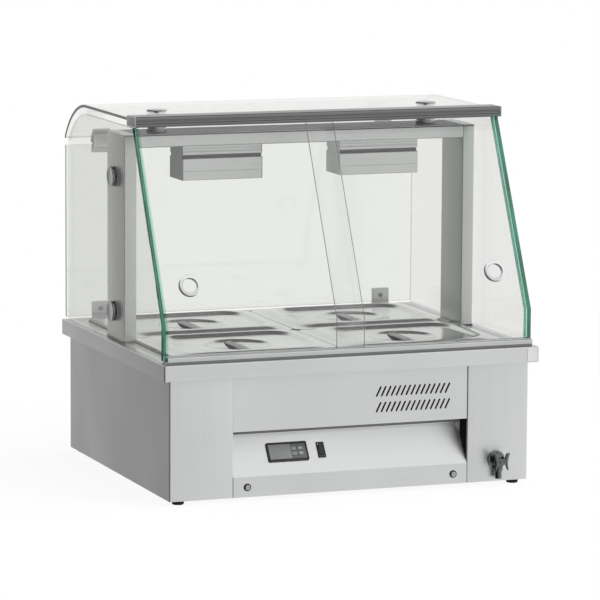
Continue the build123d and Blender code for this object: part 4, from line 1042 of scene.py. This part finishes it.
@dataclass
class LampUnit:
    """Heat lamp housing: an extruded body with ribs and a groove, end plates and a reflector; the lamp itself is a
    carried-over solid.
    """

    side: Side
    x: float = 156.0
    width: float = 157.0
    plate: float = 1.5
    y: Point2 = (-22.0, 50.0)
    z: Point2 = (555.5, 619.0)

    def section(self) -> np.ndarray:
        """Front half of the outline from the top down: ribs, flare, groove, plain box with a pressed line."""
        upper = [(2.0, 0.0), (2.0, 3.2), (3.0, 3.8), (3.0, 5.0), (2.0, 5.6), (2.0, 8.4), (3.0, 9.0), (3.0, 10.2),
                 (2.0, 10.8), (0.8, 14.6), (0.8, 16.0), (6.0, 16.6), (6.0, 22.6), (0.6, 23.2), (0.0, 24.2)]
        lower = [(0.0, 17.0), (0.5, 16.5), (0.0, 16.0), (0.0, 0.8), (0.8, 0.0)]
        y0, (z0, z1) = self.y[0], self.z
        return np.array([(y0 + y, z1 - z) for y, z in upper] + [(y0 + y, z0 + z) for y, z in lower])

    def housing(self) -> None:
        """Extrude the outline, with the reflector's trough cut in from below as a half ellipse."""
        front, mid, word = self.section(), sum(self.y) / 2, self.side.word
        back = (front * (-1.0, 1.0) + (2 * mid, 0.0))[::-1]
        a = np.linspace(0, math.pi, 25)
        trough = np.column_stack([mid + 33.5 * np.cos(a), self.z[0] + 34.0 * np.sin(a) ** 0.8])
        outline = anticlockwise(np.concatenate([front, trough[::-1], back]))
        x0 = self.side.value * self.x - self.width / 2
        x1, t = x0 + self.width, self.plate
        shell = Shell().loft(along_x(outline, x0 + t, x1 - t))
        name = f"{word}_lamp_housing"
        sized_piece(name + "_extruded", shell, [LAMP_METAL], [name], smooth=25)
        # Dark strips at the bottom of the side grooves: painted shade in the grooves.
        lining = Shell()
        for y in (self.y[0] + 5.4, self.y[1] - 5.4):
            lining.join(strip_x((0.9, 2.9), 0.3, (y, self.z[1] - 19.6), x0 + t + 0.1, x1 - t - 0.1))
        sized_piece(f"{word}_lamp_groove", lining, [SEAL])
        plate = anticlockwise(np.concatenate([front, back]))
        ends = Shell().loft(along_x(plate, x0, x0 + t)).loft(along_x(plate, x1 - t, x1))
        # The left end plates take the darker fitting copy and the right ones the tube finish: painted shade on the
        # left.
        finish = DARK_FITTING if self.side is Side.LEFT else TUBE_Z
        sized_piece(f"{word}_lamp_end_plates", ends, [finish], smooth=25)

    def build(self) -> None:
        """Make the lamp unit."""
        self.housing()


# ---------------------------------------------------------------- glass


def pane_between(path: np.ndarray, inner: np.ndarray, half: float) -> Shell:
    """Pane whose section runs along path outside and inner inside: faces get finish 0, every edge finish 1."""
    shell = Shell()
    shell.grid(along_x(path, -half, half)[::-1])
    shell.grid(along_x(inner, -half, half))
    shell.grid(np.stack([at_x(path, -half), at_x(inner, -half)]), slot=1)
    shell.grid(np.stack([at_x(inner, half), at_x(path, half)]), slot=1)
    first, last = np.array([path[0], inner[0]]), np.array([path[-1], inner[-1]])
    shell.grid(along_x(first, -half, half), slot=1)
    shell.grid(along_x(last, -half, half)[::-1], slot=1)
    return shell


@dataclass
class Canopy:
    """Roof pane, side panes, rear flap and what holds them."""

    half: float = 358.0
    roof_z: float = 676.0
    glass: float = 6.0
    bend_y: float = 177.0
    bend_z: float = 522.0
    bend_r: float = 160.0
    arc: float = 57.1
    roof_y: float = -95.04
    rear_y: float = 302.0
    rear_z: Point2 = (262.0, 593.908)
    side_x: Point2 = (350.5, 356.5)
    side_y: Point2 = (-261.0, 294.0)
    side_z: tuple[float, float, float] = (261.0, 325.0, 664.0)
    slope: float = 25.9
    post_y: float = 25.0
    discs: Point2 = (312.0, 563.0)
    fix_x: float = 269.0
    clamp_x: float = 290.0
    hinge: Point2 = (296.2, 600.0)
    stop: Point2 = (296.4, 276.0)
    standoff_z: float = 644.0
    grub: Point2 = (17.4, 658.0)

    def section(self, z: float, r: float) -> np.ndarray:
        """Flat run at height z and then the roof's bend: centre + r (sin a, cos a), a from the vertical."""
        a = np.radians(np.linspace(0, self.arc, 25))
        bend = np.column_stack([self.bend_y + r * np.sin(a), self.bend_z + r * np.cos(a)])
        return np.concatenate([[(self.roof_y, z)], bend])

    def roof(self) -> None:
        """Flat pane that runs into the bend."""
        top = self.section(self.roof_z + self.glass, self.bend_r)
        shell = pane_between(top, self.section(self.roof_z, self.bend_r - self.glass), self.half)
        sized_piece("roof_pane_bent", shell, [CLEAR, EDGE_GREY], ["roof_glass"], "base", 0.6, 1)

    def rear(self) -> None:
        """Upright rear pane."""
        back, front = (np.array([(y, z) for z in self.rear_z[::-1]]) for y in (self.rear_y + self.glass, self.rear_y))
        shell = pane_between(back, front, self.half)
        sized_piece("rear_pane", shell, [REAR_CLEAR, EDGE_PALE], ["rear_glass"], "rear_flap", 0.6, 1)

    def side_pane(self, side: Side) -> None:
        """Flat pane between its foot and a top line z(y): the door's slope, the roof's level and the bend's arc."""
        (y0, y1), (z0, z_bend, z1) = self.side_y, self.side_z
        slope = math.tan(math.radians(self.slope))
        y_top = y0 + (z1 - z_bend) * slope
        r = z1 - self.bend_z
        y = np.concatenate([[y0], np.linspace(y0, y_top, 6)[1:], [self.bend_y],
                            self.bend_y + r * np.sin(np.linspace(0, math.asin((y1 - self.bend_y) / r), 20))[1:]])
        rise = np.where(y <= y_top, z_bend + (y - y0) / slope, z1)
        bent = self.bend_z + np.sqrt(np.clip(r**2 - (y - self.bend_y) ** 2, 0, None))
        lower = np.column_stack([y, np.full_like(y, z0)])
        upper = np.column_stack([y, np.where(y > self.bend_y, bent, np.minimum(rise, z1))])
        shell = Shell()
        x0, x1 = self.side_x
        shell.grid(np.stack([at_x(lower, x1), at_x(upper, x1)]))
        shell.grid(np.stack([at_x(upper, x0), at_x(lower, x0)]))
        shell.grid(along_x(np.concatenate([lower, upper[::-1]]), x0, x1), closed=True, slot=1)
        n = len(y)
        shell.slots[-2 * n : -n] = [0] * n
        sloped = int(np.sum(y <= y_top + 0.01))
        shell.slots[-sloped:] = [2] * sloped
        if side is Side.LEFT:
            shell.mirrored()
        name = f"{side.word}_side_glass"
        # The left pane's sloped edge is painted dark green and the right one's pale mint: painted light.
        edges = [CLEAR, EDGE_LINE, EDGE_GREEN if side is Side.LEFT else EDGE_MINT]
        sized_piece(name + "_pane", shell, edges, [name], "base", 0.5, 1)

    def disc_fixings(self) -> None:
        """Turned discs with a bevelled rim and a faint hollow, each on its stud; the roof's are flatter."""
        profile = [(0, -17), (4, -17), (4, 0), (18.7, 0), (19, 0.3), (19, 2.9), (18.2, 4.0), (16.5, 4.0), (15, 3.7),
                   (0, 3.7)]
        flat = [(r, min(h, h * 0.6)) for r, h in profile]
        for side in Side:
            nodes = once("glass_fixing_discs", side is Side.LEFT)
            spot = (side.value * self.fix_x, self.post_y, self.roof_z + self.glass)
            turned_piece(f"roof_disc_{side.word}", flat, UP, spot, FITTING, nodes, 48)
            for z, word in zip(self.discs, ("lower", "upper")):
                spot, out = (side.value * self.side_x[1], self.post_y, z), (side.value, 0.0, 0.0)
                turned_piece(f"{word}_disc_{side.word}", profile, out, spot, FITTING, steps=48)

    def standoffs(self) -> None:
        """Turned spacers with two flanges and a waist, each with a dark grub screw in front."""
        spacer = [(0, 0), (18.6, 0), (19, 0.4), (19, 4.4), (18.4, 5), (17.6, 5.6), (17.4, 7.0), (17.4, 25.0),
                  (17.6, 26.4), (18.4, 27), (19, 27.6), (19, 31.6), (18.6, 32), (0, 32)]
        grub = [(0, -1.5), (4.8, -1.5), (4.8, 0), (4.6, 0.5), (3.6, 0.9), (0, 0.9)]
        for side in Side:
            x, nodes = side.value * self.fix_x, once("roof_standoffs", side is Side.LEFT)
            spot, name = (x, self.post_y, self.standoff_z), "roof_standoff_"
            turned_piece(name + side.word, spacer, UP, spot, FITTING, nodes, 48)
            spot, name = (x, self.post_y - self.grub[0], self.grub[1]), "roof_standoff_grub_"
            turned_piece(name + side.word, grub, FORWARDS, spot, GASKET, steps=24)

    def hinge_covers(self) -> None:
        """Rounded cover in front of each hinge's knuckle."""
        for side in Side:
            cover = Shell().loft(stacked([(17.0, 13.0, 3.0, 0.0), (17.0, 13.0, 3.0, 3.4), (16.4, 12.4, 2.6, 4.4),
                                          (15.2, 11.2, 2.0, 4.8)]))
            cover.turned(facing(FORWARDS), (side.value * self.clamp_x, *self.hinge))
            sized_piece(f"{side.word}_hinge_cover", cover, [TUBE_X])

    def stop_screws(self) -> None:
        """Socket screw in each stop block's upright."""
        head = [(0, -0.6), (4.2, -0.6), (4.2, 0.4), (3.9, 1.2), (3.2, 1.6), (1.8, 1.6), (1.8, 0.4), (0, 0.4)]
        for side in Side:
            spot = (side.value * self.clamp_x, *self.stop)
            # The screws take the darker copy of the fitting finish: painted shade.
            turned_piece(f"{side.word}_stop_screw", head, FORWARDS, spot, DARK_FITTING)

    def build(self) -> None:
        """Make the canopy."""
        self.roof()
        self.rear()
        for side in Side:
            self.side_pane(side)
        self.disc_fixings()
        self.standoffs()
        self.hinge_covers()
        self.stop_screws()


@dataclass
class Doors:
    """Two bent sliding doors, their rail, track and finger pulls."""

    half: float = 359.0
    overlap: float = 50.0
    z: Point2 = (262.8, 671.5)
    bend_z: float = 325.0
    slope: float = 25.9
    glass: float = 5.0
    pull: Point2 = (300.0, 394.0)
    hole: float = 17.05
    rail_x: float = 355.0
    track_x: float = 359.5

    def place(self, side: Side) -> float:
        """Outer face at the rail: the left door is the front one."""
        return -287.0 if side is Side.LEFT else -277.0

    def pull_spot(self, side: Side) -> np.ndarray:
        """Middle of the finger pull on the outer face, as y and z."""
        rise = self.pull[1] - self.bend_z
        return np.array([self.place(side) + rise * math.tan(math.radians(self.slope)), self.pull[1]])

    def door(self, side: Side) -> None:
        """Outer face as a grid over X and the length along the bent path, with a round hole for the finger pull.

        Cells round the hole are left out, and the hole's circle is joined to the square that is left by straight
        strips. Solidify then gives the pane its thickness, and its edges their own finish.
        """
        y, a = self.place(side), math.radians(self.slope)
        top = (y + (self.z[1] - self.bend_z) * math.tan(a), self.z[1])
        path = rounded_path([(y, self.z[0]), (y, self.bend_z), top], (14.0,), 8)
        x0 = -self.half if side is Side.LEFT else -self.overlap / 2
        x1 = x0 + self.half + self.overlap / 2
        cx, centre, along = side.value * self.pull[0], self.pull_spot(side), np.array([math.sin(a), math.cos(a)])
        w, k, left, low = 24.0, 8, 5, len(path) - 1
        line = np.linspace(-w, w, k + 1)
        section = np.concatenate([path[:-1], centre + line[:, None] * along, path[-1:]])
        xs = np.concatenate([np.linspace(x0, cx - w, left + 1)[:-1], cx + line, np.linspace(cx + w, x1, 6)[1:]])
        n, m = len(section), len(xs)
        points = np.zeros((n, m, 3))
        points[:, :, 0] = xs[None, :]
        points[:, :, 1:] = section[:, None, :]
        index = np.arange(n * m).reshape(n, m)
        quads = np.stack([index[:-1, :-1], index[:-1, 1:], index[1:, 1:], index[1:, :-1]], axis=-1)
        keep = np.ones(quads.shape[:2], bool)
        keep[low : low + k, left : left + k] = False
        patch = index[low : low + k + 1, left : left + k + 1]
        border = np.concatenate([patch[0, :-1], patch[:-1, -1], patch[-1, :0:-1], patch[:0:-1, 0]])
        flat = points.reshape(-1, 3)[border]
        du, dv = flat[:, 0] - cx, (flat[:, 1:] - centre) @ along
        reach = np.hypot(du, dv) / self.hole
        ring = np.column_stack([cx + du / reach, centre + (dv / reach)[:, None] * along])
        inner = n * m + np.arange(len(ring))
        strips = np.stack([border, np.roll(border, -1), np.roll(inner, -1), inner], axis=-1)
        faces = quads[keep].tolist() + strips.tolist()
        shell = Shell([points.reshape(-1, 3), ring], faces, [0] * len(faces), n * m + len(ring))
        name = f"{side.word}_door"
        glass = DOOR_LEFT if side is Side.LEFT else DOOR_RIGHT
        piece = sized_piece(name + "_pane", shell, [glass, EDGE_DOOR], [name], name)
        wall = piece.modifiers.new("thickness", "SOLIDIFY")
        wall.thickness = self.glass * MM
        wall.offset = -1.0
        wall.use_even_offset = True
        wall.use_rim = True
        wall.material_offset_rim = 1
        rounded_edges(piece, "arris", 0.4, 1, 60)

    def finger_pull(self, side: Side) -> None:
        """Ring turned about the normal of the glass: a flange on both faces, rounded into the bore."""
        t, f = self.glass, 1.2
        profile = [(14.0, -t - f + 0.6), (14.6, -t - f), (19.2, -t - f), (20.0, -t - f + 0.5), (20.0, -t), (17.0, -t),
                   (17.0, 0.0), (20.0, 0.0), (20.0, f - 0.5), (19.2, f), (14.6, f), (14.0, f - 0.6)]
        a = math.radians(self.slope)
        spot = (side.value * self.pull[0], *self.pull_spot(side))
        shell = lathe(profile, 64, looped=True).turned(facing((0.0, -math.cos(a), math.sin(a))), spot)
        name = f"{side.word}_door"
        sized_piece(name + "_ring", shell, [PRESSED], [name + "_pull"], name)

    def rail(self) -> None:
        """Extruded rail: a round-nosed front wall over a fine groove, two door grooves, a low rear wall."""
        y0, z0, z1 = -293.5, 258.0, 271.0
        front = rounded_path([(y0 + 2.0, z0), (y0 + 2.0, z0 + 3.6), (y0, z0 + 4.2), (y0, z1), (y0 + 6.0, z1),
                              (y0 + 6.0, z1 - 8.5)], (0.3, 0.4, 3.6, 1.6), 6)
        rest = [(y0 + 12.0, z1 - 8.5), (y0 + 12.0, z1), (y0 + 16.0, z1), (y0 + 16.0, z1 - 8.5), (y0 + 22.0, z1 - 8.5),
                (y0 + 22.0, z1), (y0 + 28.0, z1), (y0 + 28.0, z0)]
        line = rounded_path([tuple(front[-1])] + rest, (0.0, 1.2, 1.2, 0.0, 0.0, 1.2, 2.6), 4)
        outline = anticlockwise(np.concatenate([front, line[1:]]))
        shell = Shell().loft(along_x(outline, -self.rail_x, self.rail_x))
        sized_piece("front_rail_extruded", shell, [ANODISED], ["front_rail"], smooth=40)
        # Grey strip in the fine groove under the rail's round nose: painted shade in the groove.
        seal = strip_x((0.9, 1.8), 0.5, (y0 + 1.3, z0 + 1.85), 0.4 - self.rail_x, self.rail_x - 0.4)
        sized_piece("front_rail_seal", seal, [SOFT_SEAL])

    def track(self) -> None:
        """Extruded track: beaded front face with a shallow channel, two grooves below and the roof's slot behind."""
        y0, z0, z1 = -124.04, 667.0, 686.0
        low = [(2.6, 0.0), (0.0, 0.0), (0.0, 5.6), (2.6, 6.2), (2.6, 9.4), (0.0, 10.0)]
        high = [(0.0, 0.0), (29.0, 0.0), (46.0, 0.0), (46.0, 4.0), (29.0, 4.0), (29.0, 10.0), (46.0, 10.0)]
        under = [(46.0, 0.0), (21.34, 0.0), (21.34, 7.0), (12.6, 7.0), (12.6, 0.0), (11.34, 0.0), (11.34, 7.0),
                 (4.2, 7.0)]
        corners = [(y0 + y, z0 + z) for y, z in low] + [(y0 + y, z1 - z) for y, z in high]
        corners += [(y0 + y, z0 + z) for y, z in under]
        radii = (1.2, 1.2, 0.4, 0.4, 1.2, 4.4, 0, 1.0, 0.8, 0, 0, 0.8, 1.2) + (0,) * 6
        outline = anticlockwise(rounded_path(corners, radii, 5))
        # Thin dark strips on the track's front face: painted shade lines.
        lines = Shell()
        for half, mid in ((2.3, z1 - 7.4), (1.2, z0 + 1.6)):
            lines.join(strip_x((0.3, half), 0.2, (y0 + 0.1, mid), 2.5 - self.track_x, self.track_x - 2.5))
        sized_piece("top_track_grooves", lines, [SEAL])
        shell = Shell().loft(along_x(outline, -self.track_x, self.track_x))
        sized_piece("top_track_extruded", shell, [TRACK_METAL], ["top_track"], smooth=40)
        middle = (y0 + 23.0, z0 + 9.5)
        for side in Side:
            ring, inset = flat_ring((23.0, 9.5), 1.6, middle), flat_ring((22.4, 8.9), 1.4, middle)
            x = self.track_x
            cap = Shell().loft(np.stack([at_x(ring, x), at_x(ring, x + 1.5), at_x(inset, x + 2.0)]))
            if side is Side.LEFT:
                cap.mirrored()
            nodes = once("track_end_caps", side is Side.LEFT)
            sized_piece(f"track_cap_{side.word}", cap, [CAP_PLASTIC], nodes)

    def build(self) -> None:
        """Make the doors and what they run in."""
        self.rail()
        self.track()
        for side in Side:
            self.door(side)
            self.finger_pull(side)


# ---------------------------------------------------------------- studio


def standing(turn: np.ndarray, spot: np.ndarray) -> Matrix:
    """Pose of an object from its rotation and its place in metres."""
    pose = np.eye(4)
    pose[:3, :3] = turn
    pose[:3, 3] = spot
    return Matrix(pose.tolist())


@dataclass
class Studio:
    """Pale floor, soft light, and the camera solved from the photograph's straight edges."""

    eye: Point3 = (-2624.6, -6939.3, 1386.05)
    yaw: float = 20.77
    pitch: float = -8.18
    roll: float = 0.34
    focal: float = 3985.8
    frame: float = 600.0
    aim: Point3 = (0.0, 0.0, 0.35)
    sensor: float = 36.0
    floor_x: float = 14.0
    floor_y: Point2 = (-10.0, 30.0)
    floor_lift: float = 0.885
    floor_fade: Point2 = (1.0, 2.2)
    card: Point3 = (0.1, 0.45, 0.887)
    lamps: tuple[tuple[str, Point3, float, float], ...] = (
        ("key_lamp", (2.4, -3.0, 3.4), 2.4, 50.0), ("top_lamp", (-0.4, 0.6, 3.6), 2.0, 28.0))

    def camera(self) -> None:
        """Place the camera: forward from yaw and pitch, then rolled about it."""
        a, b, c = (math.radians(v) for v in (self.yaw, self.pitch, self.roll))
        forward = np.array([math.sin(a) * math.cos(b), math.cos(a) * math.cos(b), math.sin(b)])
        right = np.array([math.cos(a), -math.sin(a), 0.0])
        up = np.cross(right, forward)
        x = math.cos(c) * right + math.sin(c) * up
        y = -math.sin(c) * right + math.cos(c) * up
        data = bpy.data.cameras.new("camera")
        data.sensor_width = self.sensor
        data.lens = self.focal / self.frame * self.sensor
        data.clip_end = 60.0
        camera = bpy.data.objects.new("camera", data)
        camera.matrix_world = standing(np.column_stack([x, y, -forward]), np.array(self.eye) * MM)
        bpy.context.scene.collection.objects.link(camera)
        bpy.context.scene.camera = camera

    def floor(self) -> None:
        """Wide pale floor, white to the camera and keeping the case's shadow."""
        x, (y0, y1) = self.floor_x, self.floor_y
        corners = [(-x, y0, 0.0), (x, y0, 0.0), (x, y1, 0.0), (-x, y1, 0.0)]
        mesh = bpy.data.meshes.new("floor")
        mesh.from_pydata(corners, [], [(0, 1, 2, 3)])
        floor = bpy.data.objects.new("floor", mesh)
        bpy.context.scene.collection.objects.link(floor)
        paper = bpy.data.materials.new("floor_paper_white")
        paper.use_nodes = True
        tree = paper.node_tree
        tree.nodes.clear()
        plain = add(tree, "BsdfDiffuse", {"Color": (0.80, 0.80, 0.80, 1.0)}).outputs[0]
        pale = add(tree, "BsdfDiffuse", {"Color": (0.14, 0.14, 0.14, 1.0)}).outputs[0]
        lift = add(tree, "Emission", {"Strength": self.floor_lift}).outputs[0]
        white = add(tree, "Emission", {"Strength": 1.0}).outputs[0]
        near = add(tree, "AddShader", {0: pale, 1: lift}).outputs[0]
        reach = add(tree, "VectorMath", {0: whereabouts(tree)}, operation="LENGTH").outputs["Value"]
        seen = mixed(tree, ramp(tree, reach, *self.floor_fade), near, white)
        both = mixed(tree, add(tree, "LightPath").outputs["Is Camera Ray"], plain, seen)
        add(tree, "OutputMaterial", {"Surface": both})
        mesh.materials.append(paper)
        floor.visible_glossy = False

    def world(self) -> None:
        """White to the camera; for light and reflections brightest ahead and to the right, with a dark card above."""
        world = bpy.data.worlds.new("studio")
        bpy.context.scene.world = world
        world.use_nodes = True
        tree = world.node_tree
        tree.nodes.clear()
        place = add(tree, "TexCoord").outputs["Generated"]
        way = add(tree, "SeparateXYZ", {0: place}).outputs
        card = add(tree, "VectorMath", {0: place, 1: self.card}, operation="DOT_PRODUCT").outputs["Value"]
        level = ramp(tree, way[0], -0.9, 0.15, 0.05, 1.0, "SMOOTHSTEP")
        for factor in (ramp(tree, way[1], -1.0, -0.45, 0.8, 1.22), ramp(tree, way[1], -0.3, 0.6, 1.0, 0.78),
                       ramp(tree, card, 0.82, 0.93, 1.0, 0.06, "SMOOTHSTEP")):
            level = calc(tree, "MULTIPLY", level, factor)
        soft = add(tree, "Background", {"Color": level, "Strength": 1.0}).outputs[0]
        white = add(tree, "Background", {"Color": (1, 1, 1, 1), "Strength": 1.0}).outputs[0]
        path = add(tree, "LightPath").outputs
        seen = calc(tree, "MAXIMUM", path["Is Camera Ray"], path["Is Transmission Ray"])
        add(tree, "OutputWorld", {"Surface": mixed(tree, seen, soft, white)})

    def lamp(self, name: str, spot: Point3, size: float, power: float) -> None:
        """A large square soft lamp that looks at the middle of the case."""
        data = bpy.data.lights.new(name, "AREA")
        data.shape = "SQUARE"
        data.size = size
        data.energy = power
        lamp = bpy.data.objects.new(name, data)
        lamp.visible_glossy = False
        lamp.matrix_world = standing(facing(np.array(spot) - np.array(self.aim)), np.array(spot))
        bpy.context.scene.collection.objects.link(lamp)

    def build(self) -> None:
        """Set up camera, floor, world and lamps."""
        bpy.context.scene.view_settings.view_transform = "Standard"
        self.camera()
        self.floor()
        self.world()
        for lamp in self.lamps:
            self.lamp(*lamp)


CARRIED_OVER: tuple[tuple[Finish, tuple[str, ...]], ...] = (
    (SHEET_X, ("vent_panel", "back_panel", "base_plate", "pan_support_bars")), (TANK_STEEL, ("water_tank",)),
    (LAMP_GLASS, ("left_heat_lamp", "right_heat_lamp")), (RUBBER, ("glass_washers",)),
    (TUBE_X, ("rear_hinge_fixed_leaves", "rear_hinge_moving_leaves", "rear_glass_stops")),
    (ELEMENT, ("heating_element",)), (FITTING, ("temperature_probe", "safety_thermostat", "drain_pipe")),
    (BLACK_PLASTIC, ("terminal_block", "cable_gland")))


def dress_solids(nodes: dict[str, bpy.types.Object]) -> None:
    """Give the carried-over solids their finish, and keep the slotted panel out of the slope's reflections."""
    for finish, names in CARRIED_OVER:
        for name in names:
            slots = nodes[name].data.materials
            slots.clear()
            slots.append(finish.material())
            log.info("solid %s: %s", name, finish.name)
    nodes["vent_panel"].visible_glossy = False


def main() -> None:
    """Load the frame and build the case around it, one sub-assembly after another."""
    logging.basicConfig(level=logging.INFO, format="%(message)s")
    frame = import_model()
    nodes = frame["nodes"]
    Cabinet().build()
    Controls().build()
    DrainValve().build()
    PanWell().build()
    Portal().build()
    for side in Side:
        LampUnit(side).build()
    Canopy().build()
    Doors().build()
    dress_solids(nodes)
    Studio().build()


if __name__ == "__main__":
    main()
